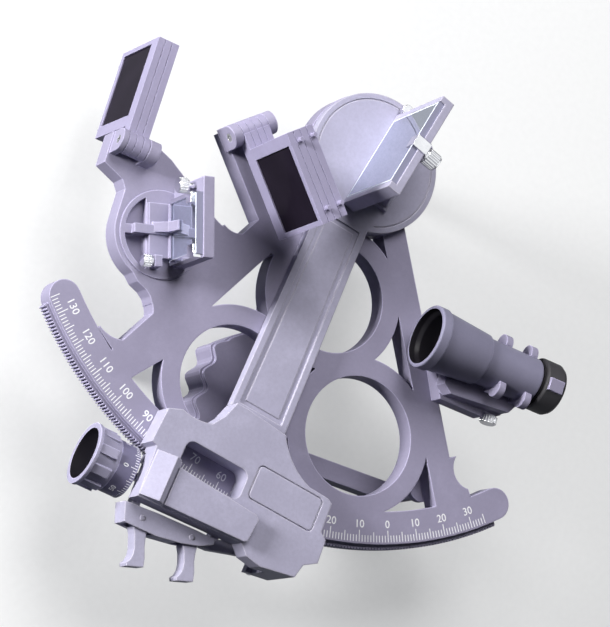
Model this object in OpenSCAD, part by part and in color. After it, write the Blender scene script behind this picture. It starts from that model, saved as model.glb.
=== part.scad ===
// Marine sextant, micrometer type, in moulded plastic.
// The frame lies face up on its three legs. X runs along the line of sight towards the eye,
// Y towards the head of the frame, Z out of the face. All sizes are in millimetres.

/* [Placement] */
// Distance from the frame's origin to the index pivot, along X
pivot_x = 7; // [-20:0.5:20]
// Distance from the frame's origin to the index pivot, along Y
pivot_y = 93; // [60:0.5:120]
// Height of the frame's face above the surface it rests on
face_z = 62; // [58:0.5:74]

/* [Frame] */
// Thickness of the moulded frame
frame_t = 10; // [8:0.5:13]
// Radius of the head disc round the index pivot
head_r = 34; // [32:0.5:36]
// Radius of the outer ends of the scale marks
scale_r = 178; // [176:0.5:180]
// Width of the limb, from its inner edge to the ends of the scale marks
limb_w = 14.5; // [12:0.5:18]
// Angle of the zero mark, measured from the line of sight
zero_dir = -70; // [-71:0.5:-69]
// Turn from the last mark off the arc to the centre of the limb's right end
right_end_turn = 2.9; // [2:0.1:4]
// Turn from the centre of the limb's left end to the last mark on the arc
left_end_turn = 0.6; // [0:0.1:2]
// How far the rack tips stand out from the scale marks
rack_out = 3; // [2.5:0.1:3.5]
// Depth of the rack teeth
tooth_depth = 0.9; // [0.6:0.1:1.2]
// Depth of the rack below the face
rack_drop = 2.4; // [1.5:0.1:3.5]
// Height of the rack teeth
rack_h = 6; // [5:0.5:7]
// Wall of the rings round the three lightening holes
ring_w = 9.3; // [8:0.1:11]
// Radius of the left hole
left_hole_r = 26.7; // [24:0.1:28]
// Radius of the top hole
top_hole_r = 26.2; // [24:0.1:28]
// Radius of the right hole
right_hole_r = 27.9; // [25:0.1:29]
// Width of the right spar
right_spar_w = 12.6; // [10:0.1:15]
// Width of the left spar
left_spar_w = 15.5; // [13:0.1:18]
// Depth of the shallow rib pocket on the back of the frame
back_pocket = 1.2; // [0.6:0.1:2]

/* [Index pivot] */
// Radius of the pivot bolt
pivot_r = 6; // [5:0.1:7]
// Radial running clearance of the pivot
pivot_fit = 0.04; // [0.02:0.01:0.08]
// Radius of the washer under the pivot nut
washer_r = 11; // [10:0.5:13]

/* [Index arm] */
// Turn of the arm's bar from square to the line of sight, in the pose shown
arm_turn = -7.6; // [-8:0.1:-7]
// Reading of the scale in the pose shown
reading = 66; // [64:1:68]
// Radius of the arm's disc
disc_r = 33.6; // [32:0.1:33.9]
// Running gap between the frame and the arm
arm_gap = 0.4; // [0.3:0.05:0.6]
// Thickness of the arm's plate
arm_t = 4.2; // [3.5:0.1:5]
// Height of the raised border on the arm
border_h = 0.8; // [0.6:0.1:1.5]
// Width of the raised border along the bar
border_w = 3.2; // [2.5:0.1:4]
// Width of the bar at the disc
bar_top_w = 26.5; // [24:0.5:30]
// Width of the bar at the housing
bar_end_w = 29.5; // [26:0.5:31]
// Distance from the pivot to the end of the bar
bar_len = 139.5; // [138:0.5:141]
// Offset of the bar's centre line from the pivot
bar_shift = -3.4; // [-5:0.1:-2]

/* [Arm housing] */
// Height of the housing above the frame's face
housing_h = 12; // [11:0.5:13]
// Length of the reading window
window_l = 33; // [28:0.5:34]
// Width of the reading window
window_w = 14.5; // [12:0.5:15]
// Corner radius of the reading window
window_r = 4; // [2:0.5:5]
// Thickness of the keeper plate behind the limb
keeper_t = 4; // [3:0.5:5]
// Thickness of the cover over the worm
cover_t = 4; // [3:0.5:6]

/* [Micrometer] */
// Radius of the worm
worm_r = 3; // [2.5:0.1:3.2]
// Gap between the worm and the rack tips
worm_gap = 0.3; // [0.3:0.05:0.4]
// Radius of the worm shaft
shaft_r = 2; // [1.6:0.1:2.3]
// Length of the worm
worm_l = 16; // [12:1:18]
// Depth of the worm's axis below the frame's face
worm_drop = 5.4; // [5:0.1:5.6]
// Angle of the worm's axis from the line of sight
worm_dir = -4; // [-5:0.5:-3]
// Distance along the shaft from the worm to the inner face of the drum
drum_start = 57.5; // [54:0.5:60]
// Length of the drum
drum_l = 22; // [21:0.5:26]
// Radius of the drum at its graduated end
drum_r = 12.2; // [12:0.1:12.4]
// Radius of the drum's outer rim
drum_rim_r = 14.5; // [13.5:0.1:16]

/* [Mirrors] */
// Direction of the horizon mirror's face, from the line of sight
horizon_dir = 107; // [106:0.5:108]
// Thickness of the mirror glass
glass_t = 3; // [2.5:0.1:3.5]
// Length of the index mirror
index_glass_l = 48; // [44:0.5:50]
// Height of the index mirror
index_glass_h = 42; // [38:0.5:43]
// Length of the horizon mirror
horizon_glass_l = 28; // [24:0.5:29]
// Height of the horizon mirror
horizon_glass_h = 29; // [26:0.5:30]
// Thickness of the index mirror's holder plate
holder_t = 3.8; // [3:0.1:5]
// Thickness of the horizon mirror's holder plate
horizon_holder_t = 5.2; // [4:0.1:6]
// Radius of the seat disc of the horizon mirror
seat_r = 20.4; // [19:0.1:21]

/* [Shades] */
// Thickness of one shade frame
shade_t = 3.3; // [2.8:0.1:3.4]
// Gap between neighbouring shades
shade_gap = 0.25; // [0.2:0.05:0.4]
// Length of a shade frame, away from its pin
shade_l = 43.5; // [40:0.5:44]
// Height of a shade frame
shade_h = 41.5; // [38:0.5:42]
// Length of the coloured glass
filter_l = 35.6; // [32:0.1:37]
// Height of the coloured glass
filter_h = 32; // [29:0.5:34]
// Radius of the hinge knuckles
knuckle_r = 5.5; // [5:0.1:6.2]
// Radius of the shade pins
pin_r = 2; // [1.6:0.1:2.4]
// Radial running clearance of the shade pins
pin_fit = 0.04; // [0.02:0.01:0.08]
// Height of the shade pins above the frame's face
pin_z = 6.5; // [6.4:0.1:7]
// Angle at which the horizon shades are folded back, from their place before the mirror
fold_turn = 177; // [174:1:179]

/* [Telescope] */
// Height of the telescope's axis above the frame's face
scope_z = 21.4; // [21:0.1:23]
// Distance of the telescope's axis below the pivot, along Y
scope_y = -74.5; // [-76:0.5:-73]
// Position of the telescope's front rim along X
scope_x = 41; // [39:0.5:43]
// Radius of the front rim
hood_r = 15.3; // [14.5:0.1:15.6]
// Radius of the telescope's body
body_r = 11.2; // [10.6:0.1:11.6]
// Length of the telescope's tube
scope_l = 60; // [56:0.5:64]
// Wall of the telescope's tube
tube_wall = 1.6; // [1.2:0.1:2]
// Running clearance of the eyepiece in the tube
focus_fit = 0.05; // [0.03:0.01:0.1]
// Radius of the rubber eyecup at its rim
cup_r = 12.7; // [12:0.1:14]

/* [Handle and legs] */
// Gap for the fingers between the frame and the grip
finger_gap = 25; // [24:0.5:29]
// Thickness of the grip
grip_t = 19; // [17:0.5:21]
// Depth of the finger waves
wave_d = 2.2; // [1:0.1:3]
// Radius of a leg
leg_r = 5; // [4:0.1:6]
// Height of the rubber foot on each leg
foot_h = 5; // [4:0.5:7]

/* [Hidden] */
$fn = 64;
eps = 0.01;
fit = 0.02;

// Colours of the object, as it is photographed
grey = [0.60, 0.58, 0.73];
pale = [0.68, 0.67, 0.82];
dark = [0.16, 0.14, 0.19];
chrome = [0.85, 0.86, 0.88];
rubber = [0.10, 0.09, 0.11];
mirror = [0.78, 0.82, 0.88];

// Derived values
mark_span_low = -35;
mark_span_high = 135;
limb_low = zero_dir - mark_span_low / 2 + right_end_turn;
limb_high = zero_dir - mark_span_high / 2 + left_end_turn;
limb_in = scale_r - limb_w;
limb_edge = scale_r + 0.6;
limb_mid = (limb_in + limb_edge) / 2;
limb_half = (limb_edge - limb_in) / 2;
rack_tip = scale_r + rack_out;
rack_root = rack_tip - tooth_depth;
tooth_pitch = 0.5;
left_hole = [-36.2, -(scale_r - 53.6)];
top_hole = [0.4, -67.6];
right_hole = [31.6, -(scale_r - 53.1)];
right_spar_dir = -60.6;
left_spar_dir = -120.9;
seat_c = [-90.2, -73.2];
lobe_r = seat_r + 2.3;
arm_z = arm_gap;
arm_top = arm_z + arm_t;
border_top = arm_top + border_h;
back_z = -frame_t;
glass_turn = horizon_dir - reading / 2 - 90;
worm_axis_r = rack_tip + worm_gap + worm_r;
drum_wall = 1.8;
holder_z = border_top;
light_dir = 41.7;
shade_pitch = shade_t + shade_gap;
shade_near = knuckle_r + 3;
index_pin_off = -68.5;
index_pin_e = 35;
front_lug = 4.5;
horizon_pin_x = -125;
horizon_pin_y = -41.9;
horizon_lug = 2.75;
index_shades = 4;
horizon_shades = 3;
inner_lug = 5.4;
grip_z = back_z - finger_gap;
grip_top_z = grip_z - grip_t;
leg_base = back_z;
leg_low = -face_z + foot_h;

// Coordinates on the circle round the pivot
function polar(r, a) = [r * cos(a), r * sin(a)];

// Place along the arm's bar that lies d beyond the ends of the scale marks
function out(d) = -(scale_r + d);

// Points of an arc from angle a to angle b
function arc(r, a, b, n) = [for (i = [0:n]) polar(r, a + (b - a) * i / n)];

// Points of an arc round a centre
function arc_at(c, r, a, b, n) = [for (p = arc(r, a, b, n)) c + p];

// A sector of a ring between two radii and two angles, with true arcs
module ring_sector(r_in, r_out, a, b) {
  far = r_out * 2;
  difference() {
    intersection() {
      circle(r_out, $fn = 180);
      polygon(concat([[0, 0]], arc(far, a, b, 6)));
    }
    circle(r_in, $fn = 180);
  }
}

// A bar of rounded rectangle section seen from above
module round_rect(l, w, r) {
  square([l - 2 * r, w], center = true);
  square([l, w - 2 * r], center = true);
  for (x = [-1, 1], y = [-1, 1])
    translate([x * (l / 2 - r), y * (w / 2 - r)]) circle(r);
}

// A band that runs out from the pivot along a direction
module spar(dir, from_r, to_r, side_a, side_b)
  rotate(dir) translate([from_r, side_a]) square([to_r - from_r, side_b - side_a]);

// A knurled head with grip ribs round it, standing on its base
module knurled(r, h, ribs) {
  rib_r = r * 0.14;
  cylinder(r = r - rib_r, h = h);
  for (i = [0:ribs - 1])
    rotate(i * 360 / ribs) translate([r - rib_r, 0, h * 0.12]) cylinder(r = rib_r, h = h * 0.76, $fn = 16);
}

// Moves a part from the pivot's frame to the frame of the whole object
module place() translate([pivot_x, pivot_y, face_z]) children();

// Moves a part into the frame of the index arm, whose bar runs down its own Y axis
module on_arm() rotate([0, 0, arm_turn]) children();

// Moves a part into the frame of the worm: X along its axis, away from the drum
module on_worm()
  rotate([0, 0, worm_dir]) translate([0, -worm_axis_r, -worm_drop]) children();

// Frame of the index mirror: X square to the glass, Y along it, origin at the pivot
module at_index_mirror() rotate([0, 0, glass_turn]) children();

// Centre of the horizon mirror's face
horizon_c = [-87.2, -71.5];

// A point of the pivot's frame, given in the frame of the horizon mirror
function in_mirror(p) =
  let (a = horizon_dir - 90, d = p - horizon_c)
  [d[0] * cos(a) + d[1] * sin(a), d[1] * cos(a) - d[0] * sin(a)];

// Frame of the horizon mirror: X square to the glass, Y along it
module at_horizon_mirror()
  translate([horizon_c[0], horizon_c[1], 0]) rotate([0, 0, horizon_dir - 90]) children();

// Frame of the index shades: X along the light, origin on the pin
module at_index_shades()
  rotate([0, 0, light_dir]) translate([index_pin_off, index_pin_e, pin_z]) children();

// Frame of the horizon shades: X along the line of sight, origin on the pin
module at_horizon_shades() translate([horizon_pin_x, horizon_pin_y, pin_z]) children();

// Outline of the limb, with round ends
module limb_2d() {
  ring_sector(limb_in, limb_edge, limb_high, limb_low);
  translate(polar(limb_mid, limb_high)) circle(limb_half - 0.04);
  translate(polar(limb_mid, limb_low)) circle(limb_half - 0.04);
}

// Teeth of the rack, one for each half degree of arm
module rack_2d() {
  a0 = limb_low - 0.9;
  a1 = limb_high - 0.5;
  n = floor((a0 - a1) / tooth_pitch);
  teeth = [for (i = [0:n - 1], k = [0:3])
    polar(k == 0 || k == 3 ? rack_root : rack_tip, a0 - (i + [0, 0.28, 0.56, 0.84][k]) * tooth_pitch)];
  floor_line = arc(scale_r - 3, a0 - n * tooth_pitch, a0, 60);
  polygon(concat(teeth, floor_line));
}

// Left part of the frame, which carries the horizon mirror and its shades
module horizon_wing_2d() {
  polygon([
    [-126, -37], [-104.5, -35], [-95.5, -38.4], [-85.9, -44.2], [-77.2, -49.7], [-66.4, -56], [-61.3, -58.1],
    polar(72.5, left_spar_dir - 2.4), polar(123, left_spar_dir - 1.4), [-83, -107], [-86, -97],
    [-112.9, -73.2], [-112.9, -60], [-115.5, -56.2], [-126, -52]
  ]);
  translate(seat_c) circle(lobe_r, $fn = 96);
  polygon([[-99, -93.5], [-94.5, -97.6], [-89.6, -99.6], [-86.6, -101.8], [-84.9, -104.6], [-80, -104],
    [-84, -92]]);
}

// Horn that carries the hinge of the index shades
module horn_2d()
  rotate(light_dir) difference() {
    translate([index_pin_off + 2, -22]) square([20.8, index_pin_e + 26.5]);
    translate([index_pin_off - 1, index_pin_e + 4.2]) square([30, 10]);
  }

// Fills a corner between two edges and rounds it with a true arc
module rounded_corner(points, c, r)
  difference() {
    polygon(points);
    translate(c) circle(r, $fn = 96);
  }

module frame_2d() {
  difference() {
    union() {
      circle(head_r, $fn = 120);
      translate(left_hole) circle(left_hole_r + ring_w, $fn = 96);
      translate(top_hole) circle(top_hole_r + ring_w, $fn = 96);
      translate(right_hole) circle(right_hole_r + ring_w, $fn = 96);
      spar(right_spar_dir, 10, limb_mid, 0, right_spar_w);
      spar(left_spar_dir, 10, limb_mid, -left_spar_w, 0);
      limb_2d();
      horizon_wing_2d();
      horn_2d();
      rounded_corner([[-106, -124.5], [-84, -140], [-68, -122], [-70, -100], [-86, -96]], [-97, -111.7],
        14.3);
      rounded_corner([[84, -116], [70, -125], [84, -143], [97, -131.5]], [93.8, -118.7], 10);
      rounded_corner([[-62.5, -57.6], [-57, -46], [-49, -43], [-40, -50], [-42, -64], [-60, -62]],
        [-56.5, -47.5], 10.5);
      polygon([[-38, -160], [-20, -150], [-2, -143], [16, -150], [34, -161], [20, -165], [-20, -165]]);
    }
    translate(left_hole) circle(left_hole_r, $fn = 96);
    translate(top_hole) circle(top_hole_r, $fn = 96);
    translate(right_hole) circle(right_hole_r, $fn = 96);
  }
}

// One fixed lug of a shade hinge, with its bore, standing on the frame
module shade_lug(t)
  difference() {
    union() {
      rotate([0, 90, 0]) cylinder(r = knuckle_r, h = t);
      translate([0, -knuckle_r, -pin_z - 2]) cube([t, 2 * knuckle_r, pin_z + 2]);
    }
    translate([-1, 0, 0]) rotate([0, 90, 0]) cylinder(r = pin_r + fit, h = t + 2);
  }

module frame() color(grey) place() {
  difference() {
    union() {
      translate([0, 0, back_z]) linear_extrude(frame_t) frame_2d();
      translate([0, 0, -rack_drop - rack_h]) linear_extrude(rack_h) rack_2d();
    }
    translate([0, 0, back_z - 1]) cylinder(r = pivot_r + pivot_fit, h = frame_t + 2);
    translate([seat_c[0], seat_c[1], -6]) cylinder(r = seat_r + fit, h = 8, $fn = 96);
    translate([seat_c[0], seat_c[1], back_z - 1]) cylinder(r = 3 + fit, h = frame_t);
    translate([0, 0, back_z - 1]) rotate_extrude($fn = 120) translate([washer_r + 4, 0])
      square([7, 1 + back_pocket]);
  }
  at_index_shades() {
    shade_lug(front_lug);
    translate([front_lug + index_shades * shade_pitch + shade_gap, 0, 0]) shade_lug(front_lug);
  }
  at_horizon_shades() {
    shade_lug(horizon_lug);
    translate([horizon_lug + horizon_shades * shade_pitch + shade_gap, 0, 0]) shade_lug(inner_lug);
  }
}

// Grip outline: a waved left side, a rounded top, a neck that runs up to the head
grip_low = -157;
grip_end = -84.5;
wave_pitch = 14.3;
function swell(y) = y < -108 ? 0 : 21.5 * pow((y + 108) / (grip_end + 108), 2.2);
function wave(y) = y > -95 ? 0 : wave_d * cos(360 * (y + 128.6) / wave_pitch);
function grip_left(y) = -36.5 + swell(y) - wave(y);
module grip_2d(inset)
  polygon(concat(
    [for (i = [0:44]) let (y = grip_low + inset + (grip_end - grip_low - inset) * i / 44) [grip_left(y) + inset, y]],
    [[-13 + inset, -78], [-12.5 + inset, -46], [-8.5 + inset, -32.6 - inset], [5.5 - inset, -32.6 - inset],
     [7.5 - inset, -46], [7.5 - inset, -80],
     [4 - inset, -92], [-3 - inset, -108], [-8 - inset, -126], [-8.8 - inset, -148], [-6 - inset, -152],
     [-6 - inset, grip_low + inset]]
  ));

handle_low = [-14, -151.5];
handle_high = [-1.5, -37.6];
post_w = 14;
module handle() color(grey) place() {
  difference() {
    union() {
      translate([0, 0, grip_top_z + 1.5]) linear_extrude(grip_t - 3) grip_2d(0);
      translate([0, 0, grip_top_z]) linear_extrude(grip_t) grip_2d(1.5);
      translate([handle_low[0] - post_w / 2, handle_low[1] - 5, grip_z - 2])
        cube([post_w, 10, finger_gap + 2]);
      translate([handle_high[0] - post_w / 2, handle_high[1] - 4.5, grip_z - 2])
        cube([post_w, 9, finger_gap + 2]);
    }
    for (c = [handle_low, handle_high])
      translate([c[0], c[1], grip_top_z - 1]) {
        cylinder(r = 1.6, h = grip_t + finger_gap + 2);
        cylinder(r = 3.4, h = 5);
      }
  }
}

module handle_screws() color(chrome) place()
  for (c = [handle_low, handle_high])
    translate([c[0], c[1], grip_top_z + 4 - fit]) {
      translate([0, 0, -3]) cylinder(r = 3.3, h = 3);
      translate([0, 0, -0.5]) cylinder(r = 1.55, h = grip_t + finger_gap - 4.2);
    }

// The brace under the frame: an angle section from the foot of the grip to the right leg
leg_right_c = [76, -134];
leg_left_c = [-71, -117];
leg_upper_c = [12, 21];
brace_z = grip_z - 6;
brace_from = [-7.9, -136.6];
brace_w = 9;
module brace_bar() color(grey) place() {
  span = leg_right_c - brace_from;
  len = norm(span) - leg_r - fit;
  translate([brace_from[0], brace_from[1], brace_z]) rotate([0, 0, atan2(span[1], span[0])]) {
    translate([0.5, -brace_w / 2, 0]) cube([len - 0.5, brace_w, 3]);
    translate([0.5, -brace_w / 2, -6]) cube([len - 0.5, 3, 6.5]);
  }
}

// A leg: a tapered post on the back of the frame, with a spigot for its foot
module leg(c, top)
  translate([c[0], c[1], leg_low]) {
    cylinder(r = leg_r, h = top - leg_low - 4);
    translate([0, 0, top - leg_low - 4]) cylinder(r = leg_r + 1.5, h = 4);
    translate([0, 0, -3]) cylinder(r = leg_r - 2, h = 4);
  }

module leg_upper() color(grey) place() leg(leg_upper_c, leg_base);
module leg_left() color(grey) place() leg(leg_left_c, leg_base);
module leg_right() color(grey) place() leg(leg_right_c, leg_base);

module foot(c)
  translate([c[0], c[1], -face_z]) difference() {
    union() {
      cylinder(r = leg_r + 1, h = foot_h - 1);
      cylinder(r = leg_r, h = foot_h);
    }
    translate([0, 0, foot_h - 3.1]) cylinder(r = leg_r - 2 + fit, h = 4);
  }

module feet() color(rubber) place() {
  foot(leg_upper_c);
  foot(leg_left_c);
  foot(leg_right_c);
}

// The pivot: a bolt pressed into the arm, running in the frame, with its washer and nut
nut_h = 5;
washer_t = 1.2;
bolt_low = back_z - 0.3 - washer_t - nut_h - 1.5;
module pivot_bolt() color(chrome) place() {
  translate([0, 0, back_z - 0.3]) cylinder(r = pivot_r, h = frame_t + 0.3 + arm_gap + 2.5);
  translate([0, 0, bolt_low]) cylinder(r = pivot_r - 1.6, h = back_z - bolt_low);
}

module pivot_washer() color(chrome) place()
  translate([0, 0, back_z - 0.3 - washer_t]) difference() {
    cylinder(r = washer_r, h = washer_t);
    translate([0, 0, -1]) cylinder(r = pivot_r - 1.6 + fit, h = washer_t + 2);
  }

module pivot_nut() color(chrome) place()
  translate([0, 0, back_z - 0.3 - washer_t - nut_h]) difference() {
    cylinder(r = 8.2, h = nut_h, $fn = 6);
    translate([0, 0, -1]) cylinder(r = pivot_r - 1.6 + fit, h = nut_h + 2);
  }

// Outline of the arm's bar, in the arm's frame
function bar_points(inset, top_y) = [
  [bar_shift - bar_top_w / 2 + inset, top_y],
  [bar_shift - bar_end_w / 2 + inset, -bar_len + inset],
  [bar_shift + bar_end_w / 2 - inset, -bar_len + inset],
  [bar_shift + bar_top_w / 2 - inset, top_y]
];

module index_arm() color(pale) place() on_arm() difference() {
  union() {
    translate([0, 0, arm_z]) linear_extrude(arm_t) {
      circle(disc_r, $fn = 120);
      polygon(bar_points(0, -8));
    }
    translate([0, 0, arm_top - eps]) linear_extrude(border_h + eps) difference() {
      union() {
        circle(disc_r, $fn = 120);
        polygon(bar_points(0, -8));
      }
      polygon(bar_points(border_w, -disc_r - 1));
    }
    translate([0, 0, arm_top - eps]) linear_extrude(border_h * 0.55)
      polygon(bar_points(border_w + 2.4, -disc_r - 3.4));
  }
  translate([0, 0, border_top - 0.5]) linear_extrude(1) difference() {
    circle(disc_r - 2.5, $fn = 120);
    circle(disc_r - 3.1, $fn = 120);
    polygon(bar_points(-2, 0));
  }
  translate([0, 0, arm_z - 1]) cylinder(r = pivot_r + fit, h = 3.6);
}

// Outline of the housing at the end of the arm
housing_left = -48.4;
housing_right = 47.6;
module housing_2d()
  polygon(concat(
    [[bar_shift - bar_end_w / 2, -bar_len + 0.5], [bar_shift - bar_end_w / 2 - 3, out(-30.5)]],
    arc_at([-34.5, out(-47)], 24.5, -68, -105, 8),
    [[housing_left + 1, out(-20.6)], [housing_left, out(-3.6)], [-45.4, out(-3.1)], [-44.2, out(21.2)],
     [-33, out(20.4)], [9.5, out(17.2)], [14, out(21.4)], [22, out(22.6)], [39.6, out(19.2)],
       [41.4, out(12.4)],
     [housing_right, out(8.4)],
     [housing_right - 0.6, out(-2.8)], [43.4, out(-5.1)], [43, out(-19.2)], [40.5, out(-20.6)],
       [31, out(-20.9)]],
    arc_at([38.4, out(-53.4)], 33.6, -104, -150, 8)
  ));

window_c = [-16.4, out(-5.8)];
module window_2d() translate(window_c) round_rect(window_l, window_w, window_r);

cavity_low = worm_drop + worm_r + 4;
module arm_housing() color(pale) place() on_arm() difference() {
  union() {
    translate([0, 0, arm_gap]) linear_extrude(housing_h - arm_gap) housing_2d();
    translate([0, 0, back_z - arm_gap]) linear_extrude(frame_t + 2 * arm_gap) intersection() {
      housing_2d();
      translate([27, out(27)]) square([30, 24]);
    }
  }
  translate([0, 0, -1]) linear_extrude(housing_h + 2) window_2d();
  translate([bar_shift, -bar_len + 4, arm_gap - 1]) rotate([0, 0, 0])
    translate([-bar_end_w / 2 - fit, -4 - fit, 0]) cube([bar_end_w + 2 * fit, 30, housing_h + 2]);
  translate([0, 0, housing_h - 0.7]) linear_extrude(1) translate([21, out(-10.8)]) difference() {
    round_rect(35.4, 16.8, 2.4);
    round_rect(34.2, 15.6, 1.9);
  }
  translate([0, 0, back_z - 1]) rotate([0, 0, -arm_turn])
    cylinder(r = rack_tip + 0.5, h = frame_t + 1 + arm_gap, $fn = 180);
  translate([-60, out(36), back_z - 1]) cube([89, 36.5, frame_t + 1 + 2.2]);
  translate([carrier_pin_c[0], carrier_pin_c[1], 0]) cylinder(r = 1.5 + fit, h = carrier_low + 9.4 + fit);
}

// Plate that hooks behind the limb, with its screws
module keeper_2d() polygon([
  [-40, out(-15)], [-40, out(0)], [26, out(0)], [26, out(21.6)], [39.6, out(19.2)], [41.4, out(12.4)],
  [housing_right, out(8.4)], [housing_right - 0.6, out(-2.8)], [41, out(-15)]
]);

keeper_screw_at = [[43.4, out(2)], [30, out(18.6)]];
module housing_keeper() color(pale) place() on_arm() difference() {
  translate([0, 0, back_z - arm_gap - keeper_t]) linear_extrude(keeper_t) keeper_2d();
  for (c = keeper_screw_at) translate([c[0], c[1], back_z - arm_gap - keeper_t - 1])
    cylinder(r = 1.2 + fit, h = keeper_t + 2);
}

module keeper_screws() color(chrome) place() on_arm()
  for (c = keeper_screw_at) translate([c[0], c[1], back_z - arm_gap - keeper_t]) {
    cylinder(r = 1.2, h = keeper_t - fit);
    translate([0, 0, -1.6]) cylinder(r = 2.4, h = 1.6);
  }

// Cover over the worm, with its bevelled left block
module worm_cover() color(pale) place() on_arm() {
  translate([0, 0, housing_h + fit]) linear_extrude(cover_t) polygon([
    [-32.6, out(1.8)], [9.4, out(3.8)], [11.4, out(5.6)], [10.2, out(16.2)], [8.6, out(17.2)],
      [-32.6, out(20)]]);
  translate([0, 0, housing_h + fit]) rotate([90, 0, 0]) translate([0, 0, -out(-1.4)]) linear_extrude(21.6)
    polygon([[-44.4, 0], [-31.8, 0], [-31.8, 1.2], [-33.4, 1.2], [-33.4, cover_t],
      [-36.2, cover_t + 1.6], [-44.4, 0.8]]);
}

// Holder plate of the index mirror, with end lips, foot and two gusset ribs
module index_mirror_holder() color(pale) place() at_index_mirror() {
  l = index_glass_l + 6;
  h = index_glass_h + 0.6;
  translate([fit, -l / 2, holder_z]) cube([holder_t, l, h]);
  for (s = [-1, 1])
    translate([-glass_t, s > 0 ? index_glass_l / 2 + fit : -l / 2, holder_z]) cube([glass_t + 1, 3 - fit, h]);
  translate([holder_t, -17, holder_z]) cube([13, 34, 2.4]);
  for (s = [-1, 1])
    translate([holder_t - 0.2, s * 14 + 1.2, holder_z + 2]) rotate([90, 0, 0]) linear_extrude(2.4)
      polygon([[0, 0], [12.6, 0], [11, 2], [3.4, 24], [2.4, 30], [0, 34]]);
}

module index_mirror_glass() color(mirror) place() at_index_mirror()
  translate([-glass_t, -index_glass_l / 2, holder_z]) cube([glass_t, index_glass_l, index_glass_h]);

// Spring clip over the top edge of the index mirror
clip_t = 0.7;
clip_w = 6;
module index_mirror_clip() color(chrome) place() at_index_mirror() difference() {
  translate([0, -clip_w / 2, 0]) union() {
    translate([-glass_t - clip_t - fit, 0, holder_z + index_glass_h - 5])
      cube([clip_t, clip_w, 5.6 + clip_t + fit]);
    translate([-glass_t - clip_t - fit, 0, holder_z + index_glass_h + 0.6 + fit])
      cube([glass_t + holder_t + 2 * clip_t + 3 * fit, clip_w, clip_t]);
    translate([holder_t + 2 * fit, 0, holder_z + index_glass_h - 8])
      cube([clip_t, clip_w, 8.6 + clip_t + fit]);
  }
  translate([0, 0, holder_z + index_glass_h - 4.4]) rotate([0, 90, 0]) cylinder(r = 1.5 + fit, h = 20);
}

module index_clip_screw() color(chrome) place() at_index_mirror()
  translate([holder_t + 3 * fit + clip_t, 0, holder_z + index_glass_h - 4.4]) rotate([0, 90, 0]) {
    translate([0, 0, 1]) knurled(4.2, 7.6, 18);
    translate([0, 0, -clip_t]) cylinder(r = 1.5, h = clip_t + 2);
  }

module index_adjusting_screw() color(chrome) place() at_index_mirror()
  translate([-1, index_glass_l / 2 + 6.4, border_top + fit]) {
    cylinder(r = 1.6, h = 2);
    translate([0, 0, 1]) knurled(3, 4, 14);
  }

// Carrier of the worm: a bar hinged at its right end on the housing, with its bearings
carrier_pin_c = [22, out(13.5)];
carrier_low = -5.6;
carrier_top = 5;
lever_at = [[-35.6, out(27)], [-10.6, out(24)]];
lever_z = -3.4;
lever_t = 7.2;
lever_hub = 3;
carrier_bar = [
  [-46, out(23.8)], [-42.6, out(32.3)], [-26.2, out(31.2)], [-14, out(28.6)], [-5.5, out(25.8)],
    [0.5, out(22.2)], [0.5, out(19.6)],
  [-10, out(20.1)], [-30, out(21.8)]
];
module carrier_solid() {
  translate([0, 0, carrier_low]) linear_extrude(carrier_top - carrier_low) polygon(carrier_bar);
  translate([0, 0, carrier_low]) linear_extrude(-0.2 - carrier_low)
    polygon([[-2, out(24)], [0, out(19.4)], [18, out(10.6)], [25.4, out(10.4)], [25.4, out(16.4)],
      [12, out(20.4)], [2, out(23.6)]]);
}

bearing_s = [-52.5, -11.5, 9];
bearing_l = 4;
bearing_low = [-19, -14.6, -9];
module worm_carrier() color(grey) place() difference() {
  union() {
    on_arm() carrier_solid();
    on_worm() for (i = [0:2])
      translate([bearing_s[i], bearing_low[i], -2.8]) cube([bearing_l, 3 - bearing_low[i], 5.6]);
  }
  on_worm() translate([-drum_start - 1, 0, 0]) rotate([0, 90, 0]) cylinder(r = shaft_r + pin_fit, h = 80);
  on_arm() translate([carrier_pin_c[0], carrier_pin_c[1], -12]) cylinder(r = 1.5 + pin_fit, h = 20);
  on_arm() for (c = lever_at) {
    translate([c[0], c[1], -12]) cylinder(r = 1.2 + fit, h = 12.6 + carrier_top);
    translate([c[0], c[1], lever_z - 0.3]) cylinder(r = lever_hub + 0.35, h = lever_t + 0.6);
    translate([c[0] - 5.5, c[1] - 12, lever_z - 0.3]) cube([13.5, 12, lever_t + 0.6]);
  }
}

module carrier_pin() color(chrome) place() on_arm()
  translate([carrier_pin_c[0], carrier_pin_c[1], carrier_low - 0.6]) cylinder(r = 1.5, h = 10);

// Coil round the carrier's pin that presses the worm into the rack
module release_spring() color(chrome) place() on_arm()
  translate([carrier_pin_c[0], carrier_pin_c[1], 0.1]) difference() {
    cylinder(r = 3.1, h = 2.1 - fit);
    translate([0, 0, -1]) cylinder(r = 1.9, h = 8);
  }

// Finger levers under the bar: squeezed together, they swing the worm out of the rack
lever_lean = 22;
module lever_blade(c, reach)
  translate([c[0], c[1], lever_z]) difference() {
    linear_extrude(lever_t) {
      circle(lever_hub);
      rotate(lever_lean) polygon([
        [-1.9, -0.4], [-3.4, -3.8], [-2.7, -7], [-2.5, -reach + 8], [-3.1, -reach + 5], [-4.4, -reach + 2.8],
        [-6, -reach + 1.6], [-5.8, -reach], [2.3, -reach], [2.7, -reach + 4], [2.4, -reach + 9], [2.8, -6.6],
        [3.6, -3.6], [1.9, -0.4]
      ]);
    }
    translate([0, 0, -1]) cylinder(r = 1.2 + pin_fit, h = lever_t + 2);
  }

module lever_left() color(pale) place() on_arm() lever_blade(lever_at[0], 21.4);
module lever_right() color(pale) place() on_arm() lever_blade(lever_at[1], 19.4);

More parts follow.
